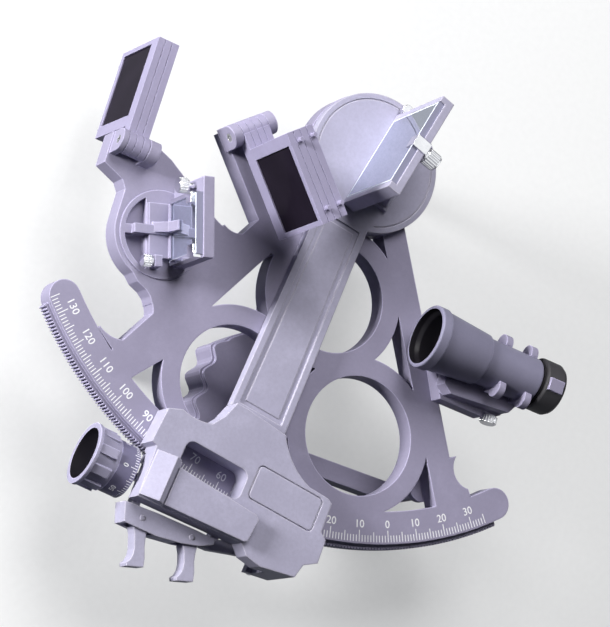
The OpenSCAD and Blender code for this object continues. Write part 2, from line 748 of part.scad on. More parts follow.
module lever_pins() color(chrome) place() on_arm()
  for (c = lever_at) translate([c[0], c[1], carrier_low + 0.4])
    cylinder(r = 1.2, h = carrier_top - carrier_low - 0.2);

module worm_shaft() color(chrome) place() on_worm() rotate([0, 90, 0]) {
  translate([0, 0, -drum_start - 2]) cylinder(r = shaft_r, h = drum_start + 2 + 13.5);
  translate([0, 0, -7.3]) rotate_extrude() polygon(concat(
    [[shaft_r - 0.5, 0]],
    [for (i = [0:worm_l - 1], k = [0:1]) [k == 0 ? worm_r - tooth_depth : worm_r, i + k * 0.5 + 0.15]],
    [[shaft_r - 0.5, worm_l]]
  ));
}

// Drum: a cup with a dark mouth and broad grip flutes, and its graduated dial
dial_l = 9.5;
module drum() color(grey) place() on_worm() translate([-drum_start - 1, 0, 0]) rotate([0, -90, 0])
  difference() {
  union() {
    translate([0, 0, dial_l]) cylinder(r1 = drum_r, r2 = drum_rim_r - 0.8, h = drum_l - dial_l - 1);
    translate([0, 0, drum_l - 1.6]) cylinder(r = drum_rim_r, h = 1.6);
    for (i = [0:8]) rotate([0, 0, i * 40 + 8]) translate([drum_r - 0.6, -2.2, dial_l + 2])
      cube([2.2, 4.4, drum_l - dial_l - 3]);
  }
  translate([0, 0, dial_l + 3]) cylinder(r = drum_rim_r - 2.4, h = drum_l);
  translate([0, 0, -1]) cylinder(r = shaft_r + fit, h = drum_l);
}

module drum_dial() color(dark) place() on_worm() translate([-drum_start - 1, 0, 0]) rotate([0, -90, 0])
  difference() {
  cylinder(r = drum_r, h = dial_l - fit);
  translate([0, 0, -1]) cylinder(r = shaft_r + fit, h = drum_l);
  translate([0, 0, -1]) rotate_extrude() translate([drum_r - 0.5, 0]) square([1, 1.6]);
}

// Base of the horizon mirror: seat disc, foot, rib and the holder plate with its window
horizon_l = 36.5;
holder_shift = 2.8;
well_depth = 3.2;
well_rim = 2.4;
well_edge = -11.2;
low_screw = [-9.5, -14.1, 4.6];
module horizon_mirror_base() color(grey) place() {
  difference() {
    union() {
      translate([seat_c[0], seat_c[1], -6 + fit]) cylinder(r = seat_r, h = 6.6 - fit, $fn = 96);
      translate([seat_c[0], seat_c[1], back_z - 1.5]) cylinder(r = 3, h = 8);
    }
    at_horizon_mirror() translate([0, 0, -well_depth]) linear_extrude(well_depth + 1) difference() {
      intersection() {
        translate(in_mirror(seat_c)) circle(seat_r - well_rim, $fn = 96);
        translate([well_edge - 30, -30]) square([30, 60]);
      }
      translate([well_edge - 30, -1.4]) square([31, 4.2]);
    }
  }
  at_horizon_mirror() {
    difference() {
      translate([glass_t + fit, holder_shift - horizon_l / 2, 0.4])
        cube([horizon_holder_t, horizon_l, horizon_glass_h + 1.4]);
      translate([glass_t - 1, holder_shift - horizon_l / 2 + 5, 15])
        cube([horizon_holder_t + 2, horizon_glass_l - 5, 12.6]);
    }
    translate([-10.6, -12, 0.4]) cube([10.4, 25, 2.6]);
    translate([-18, -1.4, 0.4]) cube([18, 4.2, 3.4]);
    translate([-0.2, 4, 0.4]) rotate([90, 0, 0]) linear_extrude(4.6)
      polygon([[0, 0], [-10, 0], [-9, 3], [-3, 7], [-1, 13], [0, 13]]);
    translate([-0.2 - 0.8, -12, 0.4]) cube([0.8, 25, 4]);
    difference() {
      translate([low_screw[0], low_screw[1] - 2.6, 0.4]) cube([3.6, 5.2, low_screw[2] + 2.2]);
      translate([low_screw[0] - 1, low_screw[1], low_screw[2]]) rotate([0, 90, 0])
        cylinder(r = 1.5 + fit, h = 6);
    }
  }
}

module horizon_mirror_glass() color(mirror) place() at_horizon_mirror()
  translate([0, holder_shift - horizon_l / 2 + 1.4, 1]) cube([glass_t, horizon_glass_l, horizon_glass_h]);

glass_low = holder_shift - horizon_l / 2 + 1.4;
glass_high = glass_low + horizon_glass_l;
module horizon_mirror_clips() color(chrome) place() at_horizon_mirror() {
  translate([-1 - fit, glass_low - 1.4, 4.5]) cube([1, 2.2, horizon_glass_h - 4.3]);
  translate([-0.5 - fit, glass_low - 1.4, 4.5]) cube([glass_t + 0.5, 1.4 - fit, horizon_glass_h - 4.3]);
  translate([-1 - fit, glass_low + 0.4, horizon_glass_h - 7]) cube([1, 4.4, 6]);
  translate([-1 - fit, glass_high - 1.2, 4.5]) cube([1, 1.8, horizon_glass_h - 7.3]);
  translate([-1 - fit, glass_high - 4.2, horizon_glass_h - 8]) cube([1, 4, 5]);
}

module horizon_screw_upper() color(chrome) place() at_horizon_mirror()
  translate([-fit, glass_high + 4, 21]) rotate([0, -90, 0]) {
    translate([0, 0, -glass_t]) cylinder(r = 1.5, h = glass_t + 1);
    translate([0, 0, 0.6]) knurled(3.6, 4.6, 16);
  }

module horizon_screw_lower() color(chrome) place() at_horizon_mirror()
  translate([low_screw[0] - fit, low_screw[1], low_screw[2]]) rotate([0, -90, 0]) {
    translate([0, 0, -3]) cylinder(r = 1.5, h = 4);
    translate([0, 0, 0.6]) knurled(3, 4.6, 14);
  }

// Moves a child to the place of shade number i in its stack
module in_stack(lug, i) translate([lug + shade_gap + i * shade_pitch, 0, 0]) children();

// One shade frame with its knuckle, before the mirror
filter_off = 5.6;
module shade_frame(nubs)
  difference() {
    union() {
      rotate([0, 90, 0]) cylinder(r = knuckle_r, h = shade_t);
      translate([0, -shade_near - shade_l, -0.5]) cube([shade_t, shade_l, shade_h]);
      translate([0, -shade_near - 1, -0.5]) cube([shade_t, shade_near, 6]);
      if (nubs) for (y = [-shade_near - 5, -shade_near - shade_l + 6])
        translate([shade_t / 2, y, shade_h - 1]) cylinder(r = 1.1, h = 2.8, $fn = 24);
    }
    translate([-1, 0, 0]) rotate([0, 90, 0]) cylinder(r = pin_r + pin_fit, h = shade_t + 2);
    translate([-1, -shade_near - filter_off - filter_l, filter_off + 0.9])
      cube([shade_t + 2, filter_l, filter_h]);
  }

module filter_glass()
  translate([0.7, -shade_near - filter_off - filter_l + fit, filter_off + 0.9 + fit])
    cube([shade_t - 1.4, filter_l - 2 * fit, filter_h - 2 * fit]);

module index_frame(i) color(grey) place() at_index_shades() in_stack(front_lug, i) shade_frame(i % 2 == 1);
module index_filter(i) color(dark) place() at_index_shades() in_stack(front_lug, i) filter_glass();
module index_shade_1() index_frame(0);
module index_shade_2() index_frame(1);
module index_shade_3() index_frame(2);
module index_shade_4() index_frame(3);
module index_filter_1() index_filter(0);
module index_filter_2() index_filter(1);
module index_filter_3() index_filter(2);
module index_filter_4() index_filter(3);

// The horizon shades are folded back about their pin
module folded() rotate([-fold_turn, 0, 0]) children();
module horizon_frame(i) color(grey) place() at_horizon_shades() in_stack(horizon_lug, i) folded()
  shade_frame(i == 0);
module horizon_filter(i) color(dark) place() at_horizon_shades() in_stack(horizon_lug, i) folded()
  filter_glass();
module horizon_shade_1() horizon_frame(0);
module horizon_shade_2() horizon_frame(1);
module horizon_shade_3() horizon_frame(2);
module horizon_filter_1() horizon_filter(0);
module horizon_filter_2() horizon_filter(1);
module horizon_filter_3() horizon_filter(2);

// A hollow pin along X, as long as its lugs and shades together
module hinge_pin(l)
  rotate([0, 90, 0]) difference() {
    cylinder(r = pin_r, h = l);
    translate([0, 0, -1]) cylinder(r = pin_r * 0.45, h = 3);
    translate([0, 0, l - 2]) cylinder(r = pin_r * 0.45, h = 3);
  }

module index_shade_pin() color(chrome) place() at_index_shades()
  hinge_pin(2 * front_lug + index_shades * shade_pitch + shade_gap);
module horizon_shade_pin() color(chrome) place() at_horizon_shades()
  hinge_pin(horizon_lug + inner_lug + horizon_shades * shade_pitch + shade_gap);

// Moves a part into the telescope's frame: Z along its axis, towards the eye
module on_scope() translate([scope_x, scope_y, scope_z]) rotate([0, 90, 0]) children();

hood_l = 5;
cone_l = 30;
module scope_tube() color(grey) place() on_scope() rotate_extrude($fn = 96) polygon([
  [hood_r - tube_wall, 0], [hood_r - 0.5, 0], [hood_r, 0.5], [hood_r, hood_l], [hood_r - 0.7, hood_l + 0.4],
  [body_r + 1.2, cone_l], [body_r, cone_l + 0.6], [body_r, scope_l - 0.6], [body_r - 0.5, scope_l],
  [body_r - tube_wall, scope_l], [body_r - tube_wall, 18.4], [body_r + 1, 18.4], [body_r + 1, 14],
  [hood_r - 2.6, 12], [hood_r - 2.6, hood_l], [hood_r - tube_wall, hood_l - 2]
]);

module objective_lens() color(mirror) place() on_scope()
  translate([0, 0, 14 + fit]) cylinder(r = body_r + 1 - fit, h = 4.2);

eye_l = 18;
eye_r = body_r - tube_wall - focus_fit;
cup_from = scope_l + 1.6;
cup_l = 11.6;
module eyepiece() color(dark) place() on_scope() translate([0, 0, scope_l - 10]) difference() {
  union() {
    cylinder(r = eye_r, h = eye_l);
    translate([0, 0, 10.8]) cylinder(r = body_r - 0.6, h = 0.8 - fit);
  }
  translate([0, 0, -1]) cylinder(r = eye_r - 2, h = eye_l + 2);
}

module eye_lens() color(mirror) place() on_scope()
  translate([0, 0, scope_l + 4]) cylinder(r = eye_r - 2 - fit, h = 2.6);

// Section of the eyecup, from its foot to its rim
cup_side = [[cup_r - 0.6, 0], [cup_r, 0.8], [cup_r, cup_l - 2.4], [cup_r - 1, cup_l - 0.6],
  [cup_r - 2.6, cup_l]];
module eyecup() color(rubber) place() on_scope() translate([0, 0, cup_from]) rotate_extrude($fn = 96)
  polygon(concat([[eye_r + fit, 0]], cup_side, [[eye_r - 1, cup_l - 1.4], [eye_r - 1.2, cup_l - 4.6],
    [eye_r + fit, cup_l - 4.9]]));

module focus_key() color(grey) place() on_scope() rotate([0, 0, 187]) difference() {
  translate([cup_r - 1, -3, cup_from + 1]) cube([2.4, 6, cup_l - 4]);
  translate([0, 0, cup_from]) rotate_extrude($fn = 96)
    polygon([[0, -1], [cup_r + fit, -1], [cup_r + fit, cup_l], [0, cup_l]]);
}

// Bracket of the telescope on the right spar: a base, a keel and two open clips
clip_x = [82.5, 97];
clip_width = 3.6;
clip_wall = 1.8;
clip_open = [18, 145];
base_h = 8;
web_h = 8;
wall_y = -95.5;
clip_lobe_r = 4.6;
lobe_turn = 16;
module clip_2d() {
  difference() {
    circle(body_r + clip_wall, $fn = 96);
    polygon(concat([[0, 0]], arc(body_r * 2, clip_open[0], clip_open[1], 6)));
  }
  for (e = [0, 1]) rotate(clip_open[e] + (e == 0 ? -1 : 1) * lobe_turn) translate([body_r + 0.4, 0])
    circle(clip_lobe_r);
}

nut_c = [93.5, -92.6, 4.4];
module scope_bracket() color(grey) place() difference() {
  union() {
    translate([0, 0, fit]) linear_extrude(base_h) polygon([
      [48.7, -66], [50.8, -60.5], [98, -60], [101, -64], [101, -85], [97, -91.6], [89, wall_y],
        [63.9, wall_y]]);
    translate([0, 0, base_h - 0.5]) linear_extrude(web_h) polygon([
      [60, -64], [101, -64], [101, -85], [97, -91], [64.5, -93.6], [60, -90]]);
    for (x = clip_x) translate([x - clip_width / 2, scope_y, 0]) {
      translate([0, 0, scope_z]) rotate([90, 0, 90]) linear_extrude(clip_width) clip_2d();
      translate([0, -8, base_h - 0.5]) cube([clip_width, 16, 5.5]);
    }
  }
  translate([scope_x, scope_y, scope_z]) rotate([0, 90, 0]) cylinder(r = body_r + fit, h = 80);
  translate([scope_x - 1, scope_y, scope_z]) rotate([0, 90, 0])
    cylinder(r1 = hood_r + 0.6, r2 = body_r + 1.7, h = cone_l + 2);
  translate([scope_x - 20, scope_y, scope_z]) rotate([0, 90, 0]) cylinder(r = hood_r + 0.6, h = 20);
  translate([nut_c[0], nut_c[1] - 1, nut_c[2]]) rotate([-90, 0, 0]) cylinder(r = 1.5 + fit, h = 8);
  translate([nut_c[0] - 5.5, wall_y - 1, nut_c[2] - 5.5]) cube([9.5, 1 + nut_c[1] - wall_y, 11]);
}

module scope_screw() color(chrome) place() translate([nut_c[0], nut_c[1] - fit, nut_c[2]])
  rotate([90, 0, 0]) {
  knurled(4.2, 4, 18);
  translate([0, 0, -6]) cylinder(r = 1.5, h = 7);
}

frame();
handle();
handle_screws();
brace_bar();
leg_upper();
leg_left();
leg_right();
feet();
pivot_bolt();
pivot_washer();
pivot_nut();
index_arm();
arm_housing();
housing_keeper();
keeper_screws();
worm_cover();
index_mirror_holder();
index_mirror_glass();
index_mirror_clip();
index_clip_screw();
index_adjusting_screw();
worm_carrier();
carrier_pin();
release_spring();
lever_left();
lever_right();
lever_pins();
worm_shaft();
drum();
drum_dial();
horizon_mirror_base();
horizon_mirror_glass();
horizon_mirror_clips();
horizon_screw_upper();
horizon_screw_lower();
index_shade_pin();
index_shade_1();
index_shade_2();
index_shade_3();
index_shade_4();
index_filter_1();
index_filter_2();
index_filter_3();
index_filter_4();
horizon_shade_pin();
horizon_shade_1();
horizon_shade_2();
horizon_shade_3();
horizon_filter_1();
horizon_filter_2();
horizon_filter_3();
scope_bracket();
scope_screw();
scope_tube();
objective_lens();
eyepiece();
eye_lens();
eyecup();
focus_key();
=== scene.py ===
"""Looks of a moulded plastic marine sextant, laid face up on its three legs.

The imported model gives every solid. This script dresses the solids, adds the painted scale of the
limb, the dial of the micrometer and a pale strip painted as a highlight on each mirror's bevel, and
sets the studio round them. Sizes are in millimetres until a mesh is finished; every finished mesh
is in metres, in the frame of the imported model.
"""

import logging
import math
from dataclasses import dataclass, field
from enum import Enum
from typing import Iterable, Sequence

import bpy
from mathutils import Matrix, Vector


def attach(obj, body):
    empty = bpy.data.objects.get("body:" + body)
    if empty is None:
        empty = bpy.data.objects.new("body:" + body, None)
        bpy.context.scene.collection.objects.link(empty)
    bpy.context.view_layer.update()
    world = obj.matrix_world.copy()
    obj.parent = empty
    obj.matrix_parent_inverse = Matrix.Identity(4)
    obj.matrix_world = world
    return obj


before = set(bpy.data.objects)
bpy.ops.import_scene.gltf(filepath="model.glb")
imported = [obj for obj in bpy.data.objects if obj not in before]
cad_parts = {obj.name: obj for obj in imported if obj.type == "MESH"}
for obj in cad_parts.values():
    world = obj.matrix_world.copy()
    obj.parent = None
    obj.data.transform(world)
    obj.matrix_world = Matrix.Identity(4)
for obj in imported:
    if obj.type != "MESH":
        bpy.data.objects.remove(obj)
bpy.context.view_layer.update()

log = logging.getLogger("sextant")

Colour = tuple[float, float, float]
Point = tuple[float, float, float]
Socket = bpy.types.NodeSocket

MM = 0.001
PIVOT = Vector((7.0, 93.0, 62.0))
WORM_DEG = -4.0
WORM_RADIUS = 184.3
WORM_DROP = 5.4
SCOPE_AXIS: Point = (48.0, 18.5, 83.4)
INDEX_MIRROR_DEG = -16.0
HORIZON_MIRROR_DEG = 17.0
BLACK: Colour = (0.0, 0.0, 0.0)
WHITE: Colour = (1.0, 1.0, 1.0)


# Shared helpers


def turned(degrees: float, axis: str = "Z") -> Matrix:
    """Gives a rotation in degrees about an axis."""
    return Matrix.Rotation(math.radians(degrees), 4, axis)


def heading(degrees: float) -> Point:
    """Gives the level direction at an angle from the X axis."""
    return tuple(turned(degrees) @ Vector((1.0, 0.0, 0.0)))


def worm_centre() -> Vector:
    """Gives the point of the worm's axis that is nearest the pivot."""
    return PIVOT + turned(WORM_DEG) @ Vector((0.0, -WORM_RADIUS, -WORM_DROP))


def shade(colour: Sequence[float], factor: float) -> Colour:
    """Scales a colour.

    Args:
        colour: red, green and blue.
        factor: the factor.

    Returns:
        The scaled colour, each part at most 1.
    """
    return tuple(min(1.0, part * factor) for part in colour[:3])


def opaque(colour: Colour) -> tuple[float, float, float, float]:
    """Gives a colour with full alpha, as a socket takes it."""
    return (*colour, 1.0)


@dataclass(frozen=True)
class Pattern:
    """A noise pattern, and the part of its range that a colour ramp uses.

    The scale is per metre, detail is the number of octaves, rough is how strong the fine ones are,
    and low and high are where a ramp over the pattern begins and ends.
    """

    scale: float
    detail: float = 4.0
    rough: float = 0.5
    low: float = 0.3
    high: float = 0.7


class NodeSheet:
    """A node tree with short calls for adding, setting and joining nodes."""

    match_margin = 0.01

    def __init__(self, tree: bpy.types.NodeTree) -> None:
        """Keeps the tree."""
        self.tree = tree

    def add(self, kind: str, **settings: object) -> bpy.types.Node:
        """Adds a node.

        Args:
            kind: the node's type name.
            settings: properties of the node, by name.

        Returns:
            The new node.
        """
        node = self.tree.nodes.new(kind)
        for name, value in settings.items():
            setattr(node, name, value)
        return node

    def feed(self, source: object, node: bpy.types.Node, socket: int | str) -> None:
        """Joins an output, or sets a constant, on a node's input.

        Args:
            source: an output socket, or a constant.
            node: the node that takes it.
            socket: the input's name or index.
        """
        target = node.inputs[socket]
        if isinstance(source, bpy.types.NodeSocket):
            self.tree.links.new(source, target)
        else:
            target.default_value = source

    def math(self, operation: str, first: object, second: object = 0.0, clamp: bool = False) -> Socket:
        """Adds a Math node.

        Args:
            operation: the operation's name.
            first: the first value or output.
            second: the second value or output.
            clamp: keeps the result between 0 and 1.

        Returns:
            The result.
        """
        node = self.add("ShaderNodeMath", operation=operation, use_clamp=clamp)
        self.feed(first, node, 0)
        self.feed(second, node, 1)
        return node.outputs[0]

    def line(self, value: object, gain: float, base: float) -> Socket:
        """Gives a value times a gain, plus a base."""
        return self.math("ADD", self.math("MULTIPLY", value, gain), base)

    def every(self, number: object, period: int) -> Socket:
        """Marks the multiples of a period.

        Args:
            number: an output that holds a whole number.
            period: the period.

        Returns:
            1 at a multiple of the period, and 0 elsewhere.
        """
        found = self.math("COMPARE", self.math("PINGPONG", number, period / 2), 0.0)
        found.node.inputs[2].default_value = self.match_margin
        return found

    def vector(self, operation: str, first: object, second: object = BLACK) -> bpy.types.Node:
        """Adds a Vector Math node.

        Args:
            operation: the operation's name.
            first: the first vector or output.
            second: the second vector or output, if the operation has one.

        Returns:
            The node.
        """
        node = self.add("ShaderNodeVectorMath", operation=operation)
        self.feed(first, node, 0)
        self.feed(second, node, 1)
        return node

    def dot(self, first: object, second: object) -> Socket:
        """Gives the dot product of two directions."""
        return self.vector("DOT_PRODUCT", first, second).outputs["Value"]

    def noise(self, where: object, pattern: Pattern) -> Socket:
        """Adds a noise texture.

        Args:
            where: the coordinates.
            pattern: the pattern.

        Returns:
            The factor.
        """
        node = self.add("ShaderNodeTexNoise")
        self.feed(where, node, "Vector")
        node.inputs["Scale"].default_value = pattern.scale
        node.inputs["Detail"].default_value = pattern.detail
        node.inputs["Roughness"].default_value = pattern.rough
        return node.outputs["Fac"]

    def ramp(self, value: object, stops: Sequence[tuple[float, Colour]]) -> Socket:
        """Adds a colour ramp.

        Args:
            value: the factor.
            stops: pairs of position and colour.

        Returns:
            The colour.
        """
        node = self.add("ShaderNodeValToRGB")
        self.feed(value, node, 0)
        elements = node.color_ramp.elements
        while len(elements) < len(stops):
            elements.new(0.5)
        for element, (place, colour) in zip(elements, stops):
            element.position = place
            element.color = opaque(colour)
        return node.outputs[0]

    def spread(self, value: object, pattern: Pattern, first: Colour, second: Colour) -> Socket:
        """Colours a pattern.

        Args:
            value: the pattern's factor.
            pattern: the pattern, for the two ends of the ramp.
            first: the colour at the low end.
            second: the colour at the high end.

        Returns:
            The colour.
        """
        return self.ramp(value, [(pattern.low, first), (pattern.high, second)])

    def blend(self, amount: object, first: object, second: object) -> Socket:
        """Mixes two colours.

        Args:
            amount: 0 for the first and 1 for the second.
            first: a colour or an output.
            second: a colour or an output.

        Returns:
            The mixed colour.
        """
        node = self.add("ShaderNodeMix", data_type="RGBA")
        self.feed(amount, node, 0)
        colour_a, colour_b, colour_out = 6, 7, 2
        for source, index in ((first, colour_a), (second, colour_b)):
            self.feed(opaque(source) if isinstance(source, tuple) else source, node, index)
        return node.outputs[colour_out]

    def rounding(self, radius: float, samples: int = 4) -> Socket:
        """Adds a Bevel node, which rounds edges in the normal alone.

        Args:
            radius: the radius in millimetres.
            samples: the number of samples.

        Returns:
            The normal.
        """
        node = self.add("ShaderNodeBevel", samples=samples)
        node.inputs["Radius"].default_value = radius * MM
        return node.outputs[0]

    def bump(self, height: object, strength: float, depth: float, normal: object) -> Socket:
        """Adds a Bump node.

        Args:
            height: the relief.
            strength: how much of it shows, from 0 to 1.
            depth: its depth in metres.
            normal: the normal that it starts from.

        Returns:
            The normal.
        """
        node = self.add("ShaderNodeBump")
        node.inputs["Strength"].default_value = strength
        node.inputs["Distance"].default_value = depth
        self.feed(height, node, "Height")
        self.feed(normal, node, "Normal")
        return node.outputs[0]

    def surface_normal(self) -> Socket:
        """Gives the mesh's own normal, in the object's frame."""
        return self.add("ShaderNodeTexCoord").outputs["Normal"]


# Finishes

FLOW_MARKS = Pattern(38.0, 3.0)
DARK_SPECKS = Pattern(1900.0, 2.0)
RUBBED_PATCHES = Pattern(75.0, 5.0, 0.62, 0.52, 0.72)
CAST_MOTTLE = Pattern(620.0, 3.0, 0.7, 0.38, 0.60)
MOULD_GRAIN = Pattern(1500.0, 2.0)
PLATING_HAZE = Pattern(260.0, 3.0)
MIRROR_DUST = Pattern(420.0, 5.0, 0.6, 0.35, 0.80)
FILTER_CLOUD = Pattern(60.0, 3.0, high=0.75)
LENS_FILM = Pattern(90.0, 2.0)
RUBBER_BLOOM = Pattern(120.0, 4.0, low=0.35, high=0.80)
RUBBER_GRAIN = Pattern(2200.0, 2.0)
PAINT_WEAR = Pattern(900.0, 3.0)
PAPER_FLECK = Pattern(300.0, 3.0)


@dataclass(frozen=True)
class Finish:
    """A finish: its name and colour, and how it is made from nodes.

    In every finish an amount runs from 0 to 1, a shade is a factor on the colour, and a spread is
    how far a pattern moves a roughness.
    """

    name: str
    colour: Colour

    def paint(self, sheet: NodeSheet, surface: bpy.types.Node, where: Socket) -> None:
        """Sets the shader; each kind of finish has its own way.

        Args:
            sheet: the material's node sheet.
            surface: the Principled shader.
            where: the Object coordinates.
        """
        raise NotImplementedError(f"{self.name} has no way to paint")

    def make(self) -> bpy.types.Material:
        """Makes the material.

        Returns:
            The material.
        """
        material = bpy.data.materials.new(self.name)
        material.use_nodes = True
        sheet = NodeSheet(material.node_tree)
        where = sheet.add("ShaderNodeTexCoord").outputs["Object"]
        self.paint(sheet, material.node_tree.nodes["Principled BSDF"], where)
        return material


@dataclass(frozen=True)
class MouldedPlastic(Finish):
    """Matt moulded plastic: fine grain, flow marks, and soft edges painted pale, partly as wear and partly
    as a painted highlight.
    """

    roughness: float = 0.46
    roughness_spread: float = 0.10
    gloss: float = 0.15
    grain: float = 0.12
    grain_depth: float = 0.00012
    edge_mm: float = 0.85
    variation: float = 0.05
    wear: float = 0.16
    wear_shade: float = 1.45
    speck: float = 0.10
    speck_shade: float = 0.72
    mottle: float = 0.18
    mottle_shade: float = 0.78
    # The next amounts paint the edges pale: partly wear, partly a painted highlight.
    rub: float = 0.75
    rub_shade: float = 2.3
    rub_samples: int = 6
    rub_sharp: float = 0.84
    rub_flat: float = 0.985

    def overlay(self, sheet: NodeSheet, tone: Socket, mask: Socket, amount: float, factor: float) -> Socket:
        """Lays a shade of the colour over a tone.

        Args:
            sheet: the material's node sheet.
            tone: the tone so far.
            mask: where the shade goes.
            amount: how much of it shows.
            factor: the shade.

        Returns:
            The new tone.
        """
        return sheet.blend(sheet.math("MULTIPLY", mask, amount), tone, shade(self.colour, factor))

    def rubbed_edges(self, sheet: NodeSheet) -> Socket:
        """Finds the edges, where the rounded normal leaves the flat one, for the wear and painted highlight
        there.

        Args:
            sheet: the material's node sheet.

        Returns:
            The mask of the worn and painted-highlight edges, white at an edge.
        """
        flat = sheet.add("ShaderNodeNewGeometry").outputs["True Normal"]
        bend = sheet.dot(sheet.rounding(self.edge_mm, self.rub_samples), flat)
        return sheet.ramp(bend, [(self.rub_sharp, WHITE), (self.rub_flat, BLACK)])

    def paint(self, sheet: NodeSheet, surface: bpy.types.Node, where: Socket) -> None:
        """Sets the shader.

        Args:
            sheet: the material's node sheet.
            surface: the Principled shader.
            where: the Object coordinates.
        """
        flow = sheet.noise(where, FLOW_MARKS)
        darker, lighter = (shade(self.colour, 1 + side * self.variation) for side in (-1, 1))
        tone = sheet.spread(flow, FLOW_MARKS, darker, lighter)
        worn = sheet.spread(sheet.noise(where, RUBBED_PATCHES), RUBBED_PATCHES, BLACK, WHITE)
        tone = self.overlay(sheet, tone, worn, self.wear, self.wear_shade)
        tone = self.overlay(sheet, tone, sheet.noise(where, DARK_SPECKS), self.speck, self.speck_shade)
        cast = sheet.spread(sheet.noise(where, CAST_MOTTLE), CAST_MOTTLE, WHITE, BLACK)
        tone = self.overlay(sheet, tone, cast, self.mottle, self.mottle_shade)
        # Edges painted pale: partly wear, partly a painted highlight.
        tone = self.overlay(sheet, tone, self.rubbed_edges(sheet), self.rub, self.rub_shade)
        sheet.feed(tone, surface, "Base Color")
        rough = sheet.line(flow, self.roughness_spread, self.roughness - self.roughness_spread / 2)
        sheet.feed(rough, surface, "Roughness")
        surface.inputs["Specular IOR Level"].default_value = self.gloss
        grain = sheet.noise(where, MOULD_GRAIN)
        sheet.feed(sheet.bump(grain, self.grain, self.grain_depth, sheet.rounding(self.edge_mm)),
                   surface, "Normal")


@dataclass(frozen=True)
class LinedPlastic(MouldedPlastic):
    """Plastic of a turned piece whose inner surface is painted near black as shade."""

    axis_point: Point = (0.0, 0.0, 0.0)
    axis: Point = (1.0, 0.0, 0.0)
    lining: Colour = (0.012, 0.011, 0.014)
    inward: float = -0.05

    def paint(self, sheet: NodeSheet, surface: bpy.types.Node, where: Socket) -> None:
        """Sets the shader, and paints what faces the axis near black, as painted shade.

        Args:
            sheet: the material's node sheet.
            surface: the Principled shader.
            where: the Object coordinates.
        """
        super().paint(sheet, surface, where)
        tone = surface.inputs["Base Color"].links[0].from_socket
        centre = tuple(part * MM for part in self.axis_point)
        offset = sheet.vector("SUBTRACT", where, centre).outputs[0]
        along = sheet.vector("PROJECT", offset, self.axis).outputs[0]
        out = sheet.vector("NORMALIZE", sheet.vector("SUBTRACT", offset, along).outputs[0]).outputs[0]
        inside = sheet.math("LESS_THAN", sheet.dot(out, sheet.surface_normal()), self.inward)
        # Painted shade: the surfaces that face the axis are coloured near black.
        sheet.feed(sheet.blend(inside, tone, self.lining), surface, "Base Color")


@dataclass(frozen=True)
class PolishedMetal(Finish):
    """Bright plated metal with a faint haze."""

    roughness: float = 0.10
    roughness_spread: float = 0.12
    haze_shade: float = 0.9
    edge_mm: float = 0.25

    def paint(self, sheet: NodeSheet, surface: bpy.types.Node, where: Socket) -> None:
        """Sets the shader.

        Args:
            sheet: the material's node sheet.
            surface: the Principled shader.
            where: the Object coordinates.
        """
        haze = sheet.noise(where, PLATING_HAZE)
        tone = sheet.spread(haze, PLATING_HAZE, shade(self.colour, self.haze_shade), self.colour)
        sheet.feed(tone, surface, "Base Color")
        surface.inputs["Metallic"].default_value = 1.0
        sheet.feed(sheet.line(haze, self.roughness_spread, self.roughness), surface, "Roughness")
        sheet.feed(sheet.rounding(self.edge_mm), surface, "Normal")


@dataclass(frozen=True)
class SilveredGlass(Finish):
    """Mirror glass with a faint film of dust, and ground edges painted grey."""

    facing: Point = (1.0, 0.0, 0.0)
    face_limit: float = 0.7
    edge: Colour = (0.22, 0.22, 0.32)
    edge_roughness: float = 0.5
    dust_shade: float = 0.93
    silver: float = 0.98
    dust_loss: float = 0.12
    film_roughness: float = 0.02
    film_spread: float = 0.05

    def paint(self, sheet: NodeSheet, surface: bpy.types.Node, where: Socket) -> None:
        """Sets the shader: silver on the two faces, and paint on the edges.

        Args:
            sheet: the material's node sheet.
            surface: the Principled shader.
            where: the Object coordinates.
        """
        dust = sheet.noise(where, MIRROR_DUST)
        silver = sheet.spread(dust, MIRROR_DUST, self.colour, shade(self.colour, self.dust_shade))
        along = sheet.math("ABSOLUTE", sheet.dot(sheet.surface_normal(), self.facing))
        is_face = sheet.math("GREATER_THAN", along, self.face_limit)
        sheet.feed(sheet.blend(is_face, self.edge, silver), surface, "Base Color")
        bright = sheet.line(dust, -self.dust_loss, self.silver)
        sheet.feed(sheet.math("MULTIPLY", is_face, bright), surface, "Metallic")
        film = sheet.line(dust, self.film_spread, self.film_roughness)
        ground = sheet.line(is_face, -self.edge_roughness, self.edge_roughness)
        sheet.feed(sheet.math("ADD", film, ground), surface, "Roughness")


@dataclass(frozen=True)
class DarkFilter(Finish):
    """Dark glass of a shade, nearly opaque seen from the front."""

    dark_shade: float = 0.8
    light_shade: float = 1.25
    roughness: float = 0.06
    roughness_spread: float = 0.05
    index: float = 1.2
    gloss: float = 0.12

    def paint(self, sheet: NodeSheet, surface: bpy.types.Node, where: Socket) -> None:
        """Sets the shader.

        Args:
            sheet: the material's node sheet.
            surface: the Principled shader.
            where: the Object coordinates.
        """
        cloud = sheet.noise(where, FILTER_CLOUD)
        darker, lighter = (shade(self.colour, factor) for factor in (self.dark_shade, self.light_shade))
        sheet.feed(sheet.spread(cloud, FILTER_CLOUD, darker, lighter), surface, "Base Color")
        sheet.feed(sheet.line(cloud, self.roughness_spread, self.roughness), surface, "Roughness")
        surface.inputs["IOR"].default_value = self.index
        surface.inputs["Specular IOR Level"].default_value = self.gloss


